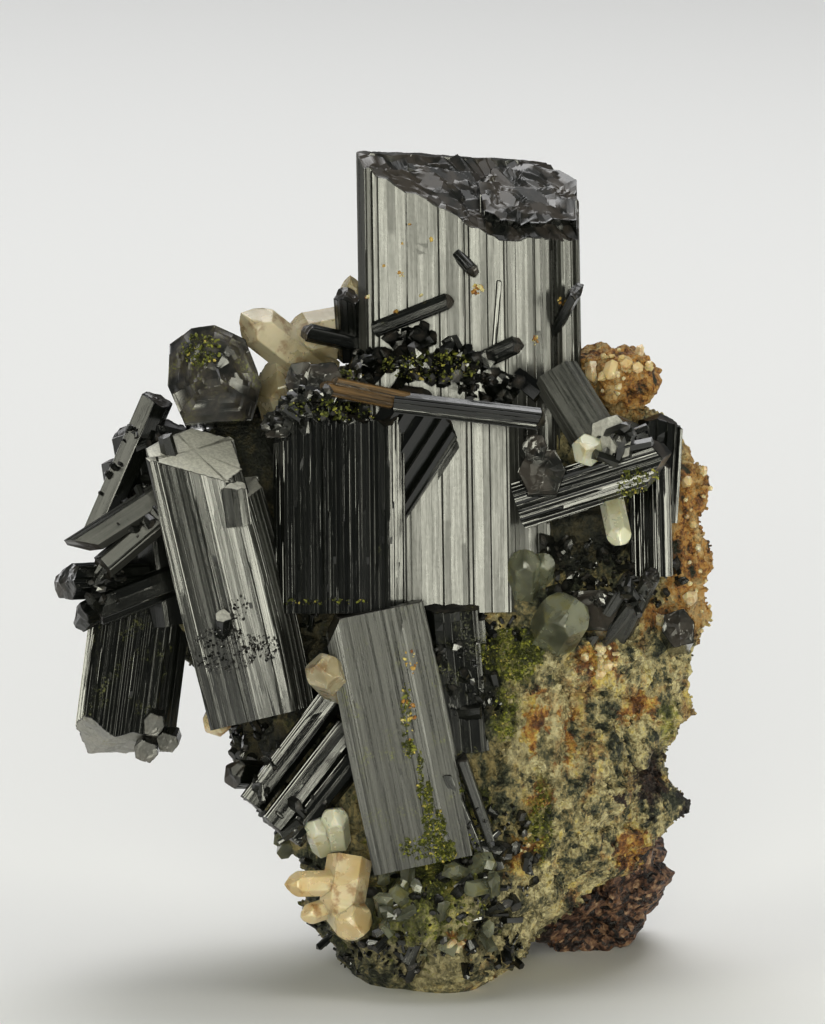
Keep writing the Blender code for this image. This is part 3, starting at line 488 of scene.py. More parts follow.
def rock_finish():
    """Streaks of black, grey-green, tan and chalk; listed patches with edges warped by noise.

    The patches lie on the front alone, which fades out between the two depths of FRONT_SIDE.
    """
    made, shader, wire = new_finish("rock")
    place = places_of(wire)
    right, depth, height = (place.part(axis) for axis in (0, 1, 2))
    up = height * math.cos(VIEW_DOWN) + (depth - FRONT_EDGE) * math.sin(VIEW_DOWN)
    flow = place.scaled(1.0, 1.0, 0.6).noise(0.30, 8.0, 0.6, 0.4)
    streaks = place.scaled(1.0, 1.0, 0.55).noise(0.55, 10.0, 0.74, 0.25)
    fine = place.noise(3.0, 8.0, 0.8)
    grains = place.cells(3.2)
    shade = place.cells(3.2, "Color").part(0)
    warp = place.noise(0.42, 7.0, 0.72, 0.5, "Color")
    across = right + (warp.part(0) - 0.5) * ZONE_WARP
    along = up + (warp.part(1) - 0.5) * ZONE_WARP
    facing = depth.rise(*FRONT_SIDE)

    def spread(zones, soft=0.5):
        """1 inside any of the zones, fading out over soft."""
        total = None
        for centre, level, wide, tall in zones:
            x, y = (across - centre) * (1 / wide), (along - level) * (1 / tall)
            near = (x * x + y * y).rise(1.0 + soft, 1.0 - soft)
            total = near if total is None else total.maths("MAXIMUM", total, near)
        return total * facing

    bent = place.node("VectorMath", {0: place, 1: warp.scaled(2.6, 2.6, 2.6)}, operation="ADD")
    blocks = bent.cells(0.75, "Color").part(0)
    value = streaks + (fine - 0.5) * 0.30 + (flow - 0.5) * 0.35 + (shade - 0.5) * 0.08
    value = value + (blocks - 0.5) * 0.10
    colour = value.ramp((0.30, BLACK), (0.39, DARK_GREEN), (0.44, GREY_GREEN), (0.50, TAN),
                        (0.57, CHALK), (0.65, YELLOW), (0.76, OCHRE))
    stained = (flow + (fine - 0.5) * 0.5).rise(0.53, 0.62)
    rusty = value.ramp((0.36, RED_BROWN), (0.46, RUST), (0.54, OCHRE), (0.64, YELLOW), (0.72, CHALK))
    colour = (stained * 0.6).mix(colour, rusty)
    golden = value.ramp((0.34, DARK_GREEN), (0.41, RUST), (0.47, OCHRE), (0.54, (0.43, 0.28, 0.115)),
                        (0.62, (0.53, 0.39, 0.20)), (0.70, TAN))
    colour = spread(GOLDEN_EDGE).mix(colour, golden)
    dark = value.ramp((0.33, BLACK), (0.41, DARK_GREEN), (0.485, GREY_GREEN), (0.58, TAN))
    colour = spread(DARK_HEART).mix(colour, dark)
    left = (across + (flow - 0.5) * 6.0).rise(7.0, 3.0) * facing
    behind = (flow + (streaks - 0.5) * 0.3 - right * 0.004).rise(0.47, 0.53) * (1.0 - facing)
    dim = left + behind
    colour = (dim * 0.95).mix(colour, dark)
    pale = value.ramp((0.36, GREY_GREEN), (0.46, TAN), (0.54, CHALK), (0.68, (0.66, 0.62, 0.5)))
    colour = (spread(WHITE_RIDGE) * 0.4).mix(colour, pale)
    colour = spread(OCHRE_SPOTS).mix(colour, rusty)
    green = value.ramp((0.40, OLIVE), (0.50, (0.12, 0.13, 0.02)), (0.60, LIME), (0.68, YELLOW))
    patchy = place.noise(0.8, 6.0, 0.7).rise(0.58, 0.64) * dim
    mossy = spread(MOSS_SPOTS) * fine.rise(0.40, 0.52)
    colour = (mossy.maths("MAXIMUM", mossy, patchy) * 0.85).mix(colour, green)
    rusted = value.ramp((0.44, (0.006, 0.003, 0.003)), (0.55, RED_BROWN), (0.66, (0.10, 0.045, 0.02)))
    colour = spread(RED_PITS).mix(colour, rusted)
    colour = (shade.rise(0.6, 0.95) * 0.45).mix(colour, DARK_GREEN)
    # Painted shade: the deep gaps are mixed towards black.
    colour = (spread(PAINTED_GAP_SHADE) * 0.85).mix(colour, BLACK)

    relief = streaks * 1.0 + fine * 0.5 + grains * 0.5
    wire.feed(shader.inputs["Base Color"], colour)
    wire.feed(shader.inputs["Roughness"], 0.75 - shade * 0.4)
    bump = wire.node("Bump", {"Height": relief, "Distance": 0.35 * MM, "Strength": 0.9})
    wire.feed(shader.inputs["Normal"], bump)
    return made


rock_paint = rock_finish()
rock_skins = [rock_skin(), lump_skin(**KNOB, rows=90, around=130)]
piece("rock", rock_skins, rock_paint, "rock", "quartz_matrix")

# The brown lump at the lower right: iron-stained, crystalline, grown onto the rock. It is a ball
# whose skin is pushed out by noise, with a cover of small facets that glint.

CRUST = {"place": (21.4, 9.8, 13.0), "size": (6.9, 8.0, 7.6), "rough": 0.28, "seed": 5, "lean": 0.4}


def crust_finish():
    made, shader, wire = new_finish("crust")
    place = places_of(wire)
    grains = place.cells(1.7, "Color").part(0)
    stain = place.noise(0.9, 9.0, 0.75, 0.1)
    value = stain * 1.35 - 0.20 + (grains - 0.5) * 0.3
    colour = value.ramp((0.36, (0.006, 0.003, 0.003)), (0.45, RED_BROWN), (0.53, (0.12, 0.060, 0.038)),
                        (0.62, (0.21, 0.12, 0.068)), (0.74, (0.36, 0.25, 0.16)))
    orange = place.noise(1.1, 7.0, 0.7).rise(0.60, 0.66)
    colour = (orange * 0.6).mix(colour, (0.20, 0.085, 0.028))
    relief = stain + place.cells(2.6) * 0.4
    wire.feed(shader.inputs["Base Color"], colour)
    wire.feed(shader.inputs["Roughness"], 0.18 + grains * 0.4)
    bump = wire.node("Bump", {"Height": relief, "Distance": 0.3 * MM, "Strength": 0.8})
    wire.feed(shader.inputs["Normal"], bump)
    return made


crust_skin = lump_skin(**CRUST, rows=150, around=240)
piece("crust", [crust_skin], crust_finish(), "crust", "brown_crust")

# The tall crystal behind, which everything else leans on: epidote, nearly black, with striations
# along it. Its front is dusty grey, its end is broken into small facets with a ledge that overhangs
# its right shoulder, and small rods are stuck on.

TOWARDS_VIEWER = np.array([0.0, -math.cos(VIEW_DOWN), math.sin(VIEW_DOWN)])
UPWARDS = np.array([0.0, 0.0, 1.0])
BEVEL = 0.07
CALM_SHARE, NOTCH_STEP = 0.3, 0.3


def six_sided(width, thick, edge):
    """The flattened six-sided section of epidote, its wide face in front."""
    half, cut = width / 2, width * edge
    front = [(-half, -0.45 * thick), (-half + cut, 0.0), (half - cut, 0.0)]
    return front + [(half, -0.45 * thick), (half - cut, -thick), (-half + cut, -thick)]


def growth_frame(foot, tip, roll, facing):
    """The foot, the length, and the rows across, front and along of a crystal's own directions."""
    foot, tip = spot(*foot), spot(*tip)
    length = np.linalg.norm(tip - foot)
    along = (tip - foot) / length
    front = facing - along * (facing @ along)
    front /= np.linalg.norm(front)
    turn = math.radians(roll)
    front = front * math.cos(turn) + np.cross(along, front) * math.sin(turn)
    return foot, length, np.array([np.cross(along, front), front, along])


def side_strips(length, stripe, lines, grooves, rng):
    """Edges of the striations across one side, and which strips are dark lines.

    Strips of random width follow each other, some of them parted by a thin line. Grooves are lines
    at chosen places, each as (place along the side, width).
    """
    steps = max(1, int(round(length / stripe)))
    widths = rng.uniform(0.3, 1.7, (steps, 2)) * (1.0, 0.3)
    widths[:, 1] *= rng.random(steps) < lines
    edges = np.cumsum(np.append(0.0, widths.ravel()))
    edges *= length / edges[-1]
    dark = np.tile((False, True), steps)
    kept = np.diff(edges) > 1e-6
    dark, edges = dark[kept], np.append(edges[:-1][kept], length)
    for at, wide in grooves:
        clear = np.abs(edges[1:-1] - at) > 0.7 * wide
        edges = np.concatenate([[0.0], edges[1:-1][clear], [length]])
        dark = np.append(dark[0], dark[1:][clear])
        place = np.searchsorted(edges, at)
        edges = np.insert(edges, place, (at - wide / 2, at + wide / 2))
        dark = np.insert(dark, place - 1, (False, True))
    return edges, dark


def crystal(foot, tip, outline, tops=((0, 0, 0),), roll=0.0, facing=TOWARDS_VIEWER, stripe=0.45,
            relief=0.04, tilt=5.0, lean=0.0, lines=0.25, line_tilt=30.0, gap=0.035, sides=None,
            bow=0.0, row=0.7, rings=12, seed=1, dust=0.0, end_dust=0.1, moss=0.0, broken=None,
            notch=None):
    """The skin of one crystal.

    One parameter runs round the outline, strip by strip: each strip is sunk and tilted by random
    amounts, which change at random heights. The other runs up the sides to the lowest of the end's
    planes, at length + lift - a x - b y, and then over the end to the middle of the outline. sides
    gives some sides of the outline their own stripe, lines, tilt, lean and grooves. broken sinks the
    end by depth (0.9 - facets at place / size), and by less on the plane that calm names. notch cuts
    into some sides below the end: it is (sides, how far below, how tall, how deep at its upper lip).
    """
    rng = np.random.default_rng(seed)
    usual = {"stripe": stripe, "lines": lines, "tilt": tilt, "lean": lean, "grooves": ()}
    corners = np.array(outline, float)
    turned = np.roll(corners, -1, axis=0)
    if (corners[:, 0] * turned[:, 1] - turned[:, 0] * corners[:, 1]).sum() > 0:
        corners = corners[::-1]
    base, normal, width, cut, tilts, leans, notched = [], [], [], [], [], [], []
    for k, (start, stop) in enumerate(zip(corners, np.roll(corners, -1, axis=0))):
        side = stop - start
        length = np.linalg.norm(side)
        side /= length
        own = {**usual, **(sides or {}).get(k, {})}
        edges, lined = side_strips(length, own["stripe"], own["lines"], own["grooves"], rng)
        inset = np.minimum(gap, 0.15 * np.diff(edges))
        places = np.stack([edges[:-1] + inset, edges[1:] - inset], axis=-1)
        places[0, 0], places[-1, 1] = min(BEVEL, length / 4), length - min(BEVEL, length / 4)
        base.append(start + places.reshape(-1, 1) * side)
        normal.append(np.tile((-side[1], side[0]), (places.size, 1)))
        width.append(np.diff(edges))
        cut.append(lined)
        tilts.append(np.full(len(lined), own["tilt"]))
        notched.append(np.full(2 * len(lined), notch is not None and k in notch[0]))
        leans.append(np.full(len(lined), own["lean"]))
    base, normal = np.concatenate(base), np.concatenate(normal)
    width, cut = np.concatenate(width), np.concatenate(cut)
    strips = len(width)

    foot, length, axes = growth_frame(foot, tip, roll, facing)
    tops = np.array(tops, float)

    def end_height(x, y):
        """The lowest of the end's planes, less its broken facets."""
        planes = length + tops[:, 0] - x[..., None] * tops[:, 1] - y[..., None] * tops[:, 2]
        height = planes.min(axis=-1)
        if broken:
            place = np.stack([x, y, height], axis=-1)
            drop = broken["depth"] * (0.9 - facets(place / np.array(broken["size"]), seed))
            calm = planes.argmin(axis=-1) == broken.get("calm", -1)
            height = height - np.where(calm, CALM_SHARE, 1.0) * drop
        return height

    sink = relief * 3.2 * rng.random((strips, 3)) ** 3
    leans, tilts = np.concatenate(leans)[:, None], np.concatenate(tilts)[:, None]
    angle = leans + tilts * rng.normal(size=(strips, 3))
    angle[cut] = line_tilt * rng.choice((-1.0, 1.0), (cut.sum(), 3))
    slope = np.tan(np.radians(angle)) * width[:, None]
    breaks = rng.uniform(-0.4, 1.7, (strips, 2)) * length
    tone = rng.random((strips, 3))
    hand = np.tile((-0.5, 0.5), strips)
    strip = np.repeat(np.arange(strips), 2)

    rows = max(3, int(round(length / row)))
    shares = np.linspace(0.0, 1.0, rows)[:, None]
    z = shares * (end_height(*base.T) - BEVEL)
    stage = (z > breaks[strip, 0]).astype(int) + (z > breaks[strip, 1])
    inward = sink[strip, stage] + hand * slope[strip, stage] + 0.5 * np.abs(slope[strip, stage])
    inward += bow * (2.0 * shares - 1.0) ** 2
    if notch:
        _, below, tall, deep = notch
        into = (z - z[-1] + below + tall) / tall
        cut_in = np.concatenate(notched) & (into > 0) & (into < 1)
        inward += np.where(cut_in, NOTCH_STEP + deep * into, 0.0)
    side_xy = base - normal * inward[..., None]
    side_tone = tone[strip, stage]
    z[-1] = end_height(*side_xy[-1].T) - BEVEL

    centre = base.mean(axis=0)
    shares = np.linspace(1.0, 0.0, rings + 1)[:-1]
    inner = side_xy[-1] - BEVEL * normal
    end_xy = centre + shares[:, None, None] * (inner - centre)
    end_z = end_height(end_xy[..., 0], end_xy[..., 1])
    xy = np.concatenate([side_xy, end_xy])
    local = np.concatenate([xy, np.concatenate([z, end_z])[..., None]], axis=-1)
    poles = [(*centre, 0.0), (*centre, float(end_height(*np.array(centre)[:, None])[0]))]
    local = np.concatenate([local.reshape(-1, 3), poles])

    around = len(base)
    tones = np.concatenate([side_tone.ravel(), np.full(rings * around + 2, 0.5)])
    on_end = np.repeat([0.0, 1.0], [rows * around, rings * around + 2])
    # The ends' dust is partly painted light: on the left crystal it is set high so that its shaded end is
    # painted as lit.
    powder = np.where(on_end > 0, end_dust, dust)
    marks = np.stack([tones, on_end, powder, np.full_like(tones, moss)], axis=-1)
    quads, fans = wrapped(rows + rings, around)
    return Skin(foot + local @ axes, quads, fans, local + seed * np.array([7.3, 3.1, 11.7]), marks)


def epidote(foot, tip, width, thick, tops=None, edge=0.2, **more):
    """An epidote crystal with a six-sided section, ended by a low roof unless tops says otherwise."""
    roof = [(0.0, 0.45, 0.15), (0.1 * width, -0.3, 0.0)]
    more = {"stripe": max(0.22, width / 7), "row": 0.8, "rings": 14, "relief": 0.015, "tilt": 2.4,
            "lines": 0.1, "gap": 0.014,
            "broken": {"depth": 0.16 * width, "size": (0.5 * width, 0.4 * width, 0.4 * width)}, **more}
    return crystal(foot, tip, six_sided(width, thick, edge), tops or roof, **more)


def epidote_finish(name, dark, light):
    """Dark to light and glossy; streaks run along the grain, and dust and moss lie where marks say. The
    pale dust on some ends is partly painted light.
    """
    made, shader, wire = new_finish(name)
    grain = wire.node("Attribute", output="Vector", attribute_name="grain")
    marks = wire.node("Attribute", output="Color", attribute_name="marks")
    tone, on_end, dust = (marks.part(axis) for axis in (0, 1, 2))
    moss = wire.node("Attribute", output="Alpha", attribute_name="marks")
    place = places_of(wire)

    streak = grain.scaled(2.6, 2.6, 0.10).noise(1.0, 5.0, 0.7)
    hair = grain.scaled(9.0, 9.0, 0.35).noise(1.0, 4.0, 0.6)
    sway = grain.scaled(0.25, 0.25, 0.09).noise(1.0, 2.0, 0.5)
    cloud = place.noise(0.35, 5.0, 0.6)
    specks = place.noise(3.2, 5.0, 0.75)
    powder = dust * (0.45 + 0.55 * streak.rise(0.35, 0.6)) * (0.7 + 0.3 * tone)
    powder = powder * (0.75 + 0.25 * specks.rise(0.4, 0.6))
    green = (moss + cloud - 0.66).rise(0.0, 0.3) * specks.rise(0.5, 0.6)

    colour = streak.rise(0.3, 0.7).mix(dark, light)
    colour = (on_end * cloud.rise(0.40, 0.6) * 0.9).mix(colour, (0.046, 0.038, 0.031))
    sides_cover = powder * 0.6 * (1.0 - on_end)
    # Partly painted light: on ends the cover lays a pale grey. On the left crystal this is raised past
    # dust to stand in for light that its shaded end lacks.
    cover = sides_cover + on_end * dust * dust * (0.75 + 0.25 * specks.rise(0.4, 0.6))
    colour = cover.mix(colour, on_end.mix((0.19, 0.19, 0.17), (0.72, 0.71, 0.66)))
    colour = green.mix(colour, tone.mix(OLIVE, LIME))
    rough = 0.10 + 0.10 * on_end + 0.08 * hair + 0.12 * tone * tone
    rough = rough + 0.3 * powder + 0.4 * green + 0.3 * cover
    striae = (streak * 0.5 + hair * 0.5) * (1.0 - 0.7 * dust) * (1.0 - on_end)
    relief = striae + specks * (0.03 + 0.12 * cover)
    wire.feed(shader.inputs["Base Color"], colour)
    wire.feed(shader.inputs["Roughness"], rough)
    shader.inputs["IOR"].default_value = 1.73
    swell = {"Height": sway * (1.0 - dust) * (1.0 - on_end), "Distance": 0.22 * MM, "Strength": 0.8}
    swell = wire.node("Bump", swell)
    bump = wire.node("Bump", {"Height": relief, "Distance": 0.03 * MM, "Strength": 0.7, "Normal": swell})
    wire.feed(shader.inputs["Normal"], bump)
    return made


epidote_black = epidote_finish("epidote", (0.0015, 0.002, 0.0015), (0.006, 0.007, 0.005))

MAIN_FOOT, MAIN_TIP = (4.1, 38.0, -4.0), (3.4, 84.5, 4.0)
MAIN_OUTLINE = [(-7.1, 0.0), (7.1, 0.0), (14.4, -5.5), (14.6, -11.0), (8.0, -16.5),
                (-4.0, -16.0), (-7.6, -9.0), (-7.8, -1.4)]
LEDGE_OUTLINE = [(4.9, -0.4), (7.0, -0.2), (14.2, -5.7), (14.4, -10.6), (9.0, -12.0), (4.2, -4.0)]
main_skins = [
    crystal(MAIN_FOOT, MAIN_TIP, MAIN_OUTLINE, [(-5.3, 0.547, 0.78), (-0.9, 0.07, 0.05)],
            relief=0.02, gap=0.012, row=0.6, rings=110, seed=4, dust=0.6,
            sides={0: {"stripe": 0.9, "lines": 0.15, "tilt": 0.9,
                       "grooves": [(0.2, 0.22), (0.75, 0.28), (1.35, 0.2), (4.2, 0.16), (7.4, 0.16),
                                   (9.9, 0.2), (10.4, 0.16), (12.2, 0.12), (13.9, 0.16)]},
                   1: {"stripe": 0.42, "lines": 0.45, "tilt": 4.0,
                       "grooves": [(4.7, 0.35), (5.6, 0.5), (6.6, 0.5), (7.6, 0.6), (8.5, 0.4)]}},
            broken={"depth": 1.7, "size": (2.6, 1.5, 2.0), "calm": 1}),
    crystal(MAIN_FOOT, MAIN_TIP, LEDGE_OUTLINE, [(-3.7, 0.547, 0.78), (-1.5, 0.07, 0.05)],
            relief=0.02, gap=0.012, stripe=0.8, row=0.6, rings=80, seed=5,
            broken={"depth": 1.3, "size": (2.6, 1.5, 2.0)}, notch=((0, 1), 0.1, 2.8, 1.0)),
    epidote((-2.7, 66.2, -0.4), (4.7, 69.1, -1.4), 1.7, 2.6, seed=21),
    epidote((5.0, 61.7, -1.6), (11.4, 64.7, -2.6), 1.9, 3.4, seed=22),
    epidote((9.4, 64.5, 0.3), (9.9, 71.2, 1.3), 0.7, 1.6, seed=23),
    epidote((5.2, 74.4, 2.6), (7.0, 72.4, 0.2), 1.3, 1.6, seed=24),
    epidote((14.9, 65.2, 4.6), (17.3, 69.6, 2.8), 1.3, 3.4, seed=25),
]
piece("main_crystal", main_skins, epidote_black, "epidote", "main_epidote")

# The crystals in front of it, all of them dark epidote grown on the rock and through each other:
# a leaning one on the left with a light end, partly painted light, one in front, and a black one
# between them. The slanting one is painted shadow: a dark crystal set where shade falls across the tall
# crystal's face.


def end_on(foot, tip, width, thick, seed, **more):
    """An epidote crystal that points at the viewer."""
    return epidote(foot, tip, width, thick, facing=UPWARDS, seed=seed, **more)


LEFT_FOOT = (-14.8, 27.3, -9.0)
left_skins = [
    # The first two skins' ends are painted pale at full strength, partly dust and partly painted light
    # where the round crystal shades them.
    crystal(LEFT_FOOT, (-20.9, 53.0, -5.0),
            [(-4.3, 0.0), (0.4, 0.02), (3.4, 0.0), (5.0, -3.0), (4.0, -8.0), (-3.0, -8.0), (-4.8, -3.0)],
            [(-1.2, 0.55, 0.6), (2.5, -0.1, 0.1)], roll=-6.0, stripe=0.24, tilt=3.0, lean=-3.5, lines=0.12,
            gap=0.012, bow=0.4, seed=8, dust=0.25, end_dust=1.0, rings=30,
            sides={0: {"tilt": 3.2, "lean": -4.2}, 1: {"tilt": 1.6, "lean": -0.5, "lines": 0.08}}),
    crystal(LEFT_FOOT, (-19.7, 48.0, -5.8),
            [(2.0, -0.2), (4.4, -0.2), (6.4, -4.5), (5.4, -8.5), (2.0, -8.5)],
            [(0.6, 0.15, 0.3)], roll=-6.0, stripe=0.24, tilt=1.4, lean=3.0, lines=0.08, gap=0.012,
            bow=0.4, seed=9, dust=0.35, end_dust=1.0, rings=20),
    epidote((-16.4, 46.6, -6.6), (-17.0, 50.6, -6.2), 2.8, 2.6, roll=-20.0, dust=0.5,
            end_dust=0.9, seed=31),
    end_on((-18.1, 36.6, -6.6), (-17.9, 38.4, -8.4), 1.7, 1.6, 32, roll=25.0, end_dust=0.8),
]
piece("left_crystal", left_skins, epidote_black, "epidote", "left_epidote")

front_skins = [
    crystal((2.4, 13.0, -12.6), (-2.7, 38.2, -9.5),
            [(-5.2, -0.3), (-4.4, 0.0), (5.0, 0.0), (5.6, -3.0), (4.4, -8.5), (-4.6, -8.5)],
            [(0.0, 0.0, 0.0), (4.6, -1.4, 0.0)], roll=4.0, stripe=0.2, tilt=1.1, lean=5.6,
            lines=0.06, gap=0.01, bow=0.3, seed=15, dust=0.66, moss=0.16, rings=24),
]
piece("front_crystal", front_skins, epidote_black, "epidote", "front_epidote")

centre_skins = [
    crystal((-6.0, 38.0, -6.5), (-6.2, 57.6, -4.0),
            [(-6.8, -1.0), (-5.4, 0.0), (5.2, 0.0), (6.4, -2.0), (5.6, -9.0), (-5.6, -9.0)],
            [(0.0, 0.03, 0.1)], roll=-10.0, stripe=0.24, tilt=2.2, lean=-7.5, lines=0.03, gap=0.015,
            seed=23, rings=40,
            broken={"depth": 1.5, "size": (1.8, 1.5, 1.8)}),
]
piece("centre_crystal", centre_skins, epidote_black, "epidote", "centre_epidote")

# Painted shadow: a dark slanting crystal stands where a shadow falls across the tall crystal's face, its
# edge along the shadow's edge.
shadow_wedge_skins = [
    epidote((-6.3, 43.1, -4.2), (3.6, 58.4, -3.6), 9.0, 3.4, roll=12.0, edge=0.12, lean=20.0, seed=33),
]
piece("shadow_wedge_crystal", shadow_wedge_skins, epidote_black, "epidote", "slanting_epidote")
lath_skins = [epidote((-0.6, 59.0, -5.0), (14.0, 57.3, -7.0), 2.3, 2.6, lean=19.0, seed=34)]
piece("cross_crystal", lath_skins, epidote_black, "epidote", "cross_lath")

hanging_skins = [
    crystal((-25.6, 41.5, 2.0), (-27.6, 25.8, -1.0),
            [(-5.0, -1.6), (-3.0, 0.0), (4.4, 0.0), (5.2, -3.0), (3.6, -7.5), (-4.0, -7.5)],
            [(0.2, -0.18, 0.25), (0.9, 0.5, 0.5)], stripe=0.24, tilt=2.5, lean=16.0, lines=0.06,
            line_tilt=18.0, gap=0.015, seed=31, rings=30, end_dust=0.62, moss=0.15,
            broken={"depth": 0.9, "size": (2.4, 1.8, 2.0)}),
    epidote((-24.2, 28.6, 1.0), (-24.4, 27.8, -3.0), 2.2, 2.2, dust=0.3, end_dust=0.45, seed=41),
    epidote((-22.9, 26.6, 1.0), (-23.1, 25.8, -2.6), 2.4, 1.8, dust=0.3, end_dust=0.45, seed=42),
    epidote((-24.9, 26.0, 2.0), (-25.2, 25.0, -3.2), 2.6, 2.0, dust=0.3, end_dust=0.45, seed=43),
]
piece("hanging_crystal", hanging_skins, epidote_black, "epidote", "hanging_epidote")

round_skins = [
    crystal((-18.7, 61.0, 9.0), (-18.6, 61.6, -5.0),
            [(4.4, 3.4), (2.1, 5.0), (-0.2, 5.2), (-3.3, 3.8), (-4.9, -0.6), (-3.9, -4.3),
             (2.8, -4.6), (4.5, -0.8)],
            [(0.0, 0.15, 0.1), (1.0, 0.85, 0.5), (0.7, -0.75, 0.3), (1.2, -0.2, -0.95)],
            facing=UPWARDS, stripe=1.5, tilt=1.0, lines=0.0, seed=44, rings=70, moss=0.2,
            broken={"depth": 1.7, "size": (2.6, 2.6, 2.2)}),
]
piece("round_crystal", round_skins, epidote_black, "epidote", "round_epidote")

# The small epidote crystals, grown on the rock and on each other. On the left flank are a dark wall,
# a long blade and blunt tips; laths and blocks sit above the middle, on the right and in front.

SMALL_EPIDOTE = {
    "left_blade": [
        epidote((-31.2, 45.6, -1.2), (-25.2, 59.6, 3.0), 3.2, 3.0, roll=-35.0, tops=[(0, 0.3, 0.3)]),
    ],
    "left_wall": [
        epidote((-21.0, 37.0, 0.6), (-24.0, 57.0, 2.4), 9.0, 7.0, roll=14.0, seed=3),
        epidote((-24.6, 40.0, 1.6), (-26.6, 53.4, 3.0), 8.0, 4.0, roll=-12.0),
    ],
    "left_lath": [
        epidote((-22.6, 50.6, -1.4), (-31.3, 45.0, -4.4), 2.9, 2.6, tops=[(0, -1.0, 0.2)],
                stripe=1.2, dust=0.6, seed=51),
        epidote((-24.0, 47.4, -1.6), (-29.4, 42.8, -3.6), 2.7, 2.6, tops=[(0, 0, 0.2)],
                stripe=1.0, dust=0.5, seed=52),
    ],
    "left_tips": [
        epidote((-25.0, 41.9, 0.4), (-32.4, 41.6, -3.2), 3.8, 4.6, roll=12.0, seed=53),
        epidote((-22.5, 41.4, -0.6), (-30.2, 38.4, -3.0), 3.6, 4.2, seed=6),
        epidote((-26.0, 41.4, 0.4), (-31.8, 38.4, -3.6), 2.6, 3.0, roll=30.0, seed=54),
    ],
    "upper_blocks": [
        end_on((-7.3, 60.6, 5.0), (-7.7, 63.0, -3.4), 4.4, 4.2, 55),
        end_on((-9.6, 61.0, 5.0), (-9.9, 63.0, -2.4), 3.2, 3.6, 56),
        end_on((-9.2, 58.0, 4.0), (-9.4, 60.0, -4.4), 3.0, 2.6, 57),
        end_on((-11.8, 56.6, 4.0), (-12.2, 58.2, -3.8), 3.4, 2.8, 58),
        end_on((-4.4, 61.4, 5.0), (-5.0, 62.2, -3.0), 3.4, 3.2, 59),
    ],
    "upper_laths": [
        epidote((-2.6, 64.6, 2.6), (-9.1, 66.0, 0.4), 1.9, 2.0, seed=60),
        epidote((-4.9, 63.0, 3.6), (-5.3, 69.2, 1.4), 2.7, 2.6, seed=61),
    ],
    "orange_lath": [
        epidote((1.0, 59.5, -4.6), (-6.4, 61.0, -5.8), 1.1, 1.8, seed=62),
        epidote((-0.6, 59.0, -4.4), (-7.4, 60.4, -6.0), 1.5, 2.0, seed=63),
    ],
    "striated_epidote": [
        crystal((11.6, 48.6, -5.6), (25.9, 53.1, -6.2), six_sided(4.8, 4.6, 0.16),
                [(0.0, 1.15, 0.1), (0.3, -0.4, 0.2)], stripe=0.2, tilt=9.0, gap=0.02, seed=11),
    ],
    "right_blade": [
        crystal((25.2, 41.6, -3.4), (24.9, 54.0, -1.6),
                [(-2.2, -2.6), (0.6, 0.0), (1.9, -0.7), (2.2, -4.2), (-1.8, -5.0)],
                [(0.0, 0.9, 0.1), (0.5, -0.5, 0.1)], stripe=0.25, seed=64),
    ],
    "right_wall": [
        epidote((25.6, 47.0, 1.6), (26.2, 57.8, 3.0), 4.6, 4.4, tops=[(0, 0.5, 0), (0, -0.3, 0)],
                lean=18.0),
    ],
    "right_block": [
        end_on((13.8, 52.8, 4.0), (14.1, 54.3, -5.4), 4.8, 4.6, 65),
        end_on((13.0, 54.8, 3.0), (13.4, 55.8, -5.6), 2.6, 2.6, 66),
    ],
    "right_striped": [
        epidote((15.2, 62.4, -0.6), (19.6, 55.2, -5.0), 5.0, 4.2, tops=[(0, 0, 0)], stripe=0.25,
                dust=0.9, end_dust=1.0, seed=9),
    ],
    "right_facet": [
        end_on((22.6, 56.6, 4.0), (20.2, 57.4, -5.6), 4.6, 4.4, 67, roll=20.0, dust=0.5, end_dust=0.8),
    ],
    "right_laths": [
        end_on((18.2, 38.0, 4.0), (18.6, 40.4, -3.4), 6.6, 4.4, 68),
        epidote((17.4, 32.6, -2.4), (22.7, 41.4, -5.6), 1.5, 1.8, dust=0.5, seed=69),
        epidote((19.6, 34.0, -1.6), (24.6, 40.8, -5.4), 1.4, 1.8, dust=0.5, seed=70),
        epidote((21.8, 34.8, -1.0), (25.0, 41.4, -4.8), 1.8, 2.0, dust=0.5, seed=71),
    ],
    "edge_block": [end_on((27.2, 37.0, 6.0), (27.4, 38.2, -2.4), 3.4, 3.6, 72, roll=15.0)],
    "lower_laths": [
        epidote((-6.8, 29.6, -7.6), (-14.8, 19.0, -10.0), 2.8, 3.4, tops=[(0, 0, 0)], lean=8.0, seed=2),
        epidote((-5.0, 26.6, -8.0), (-12.6, 16.8, -10.8), 3.0, 3.8, tops=[(0, 0, 0)], lean=8.0, seed=5),
        epidote((-4.6, 23.4, -8.0), (-10.8, 15.6, -10.6), 2.8, 4.0, tops=[(0, 0, 0)], lean=8.0, seed=6),
    ],
    "side_lath": [epidote((-10.6, 21.6, -3.0), (-15.9, 21.9, -7.0), 3.0, 2.6, seed=73)],
    "hidden_epidote": [
        epidote((6.4, 24.0, -7.4), (5.2, 38.4, -6.0), 6.4, 5.6, tops=[(0, 0.1, 0.2)], lean=14.0,
                moss=0.2, seed=7),
    ],
    "foot_laths": [
        epidote((10.0, 12.5, -10.4), (6.2, 23.4, -11.2), 1.3, 2.6, dust=0.4, seed=74),
        epidote((8.4, 13.0, -10.4), (4.6, 22.0, -11.4), 1.4, 2.6, dust=0.4, seed=75),
    ],
}
epidote_amber = epidote_finish("epidote_amber", (0.008, 0.006, 0.004), (0.22, 0.135, 0.058))
for node, skins in SMALL_EPIDOTE.items():
    finish = epidote_amber if node == "orange_lath" else epidote_black
    piece(node + "_crystals", skins, finish, "epidote", node)

# The quartz: small milky crystals, a little yellow, grown on the rock between the dark ones. Each is
# a hexagonal prism that ends in six faces, three of them larger.

QUARTZ_SLOPE = math.tan(math.radians(51.8))


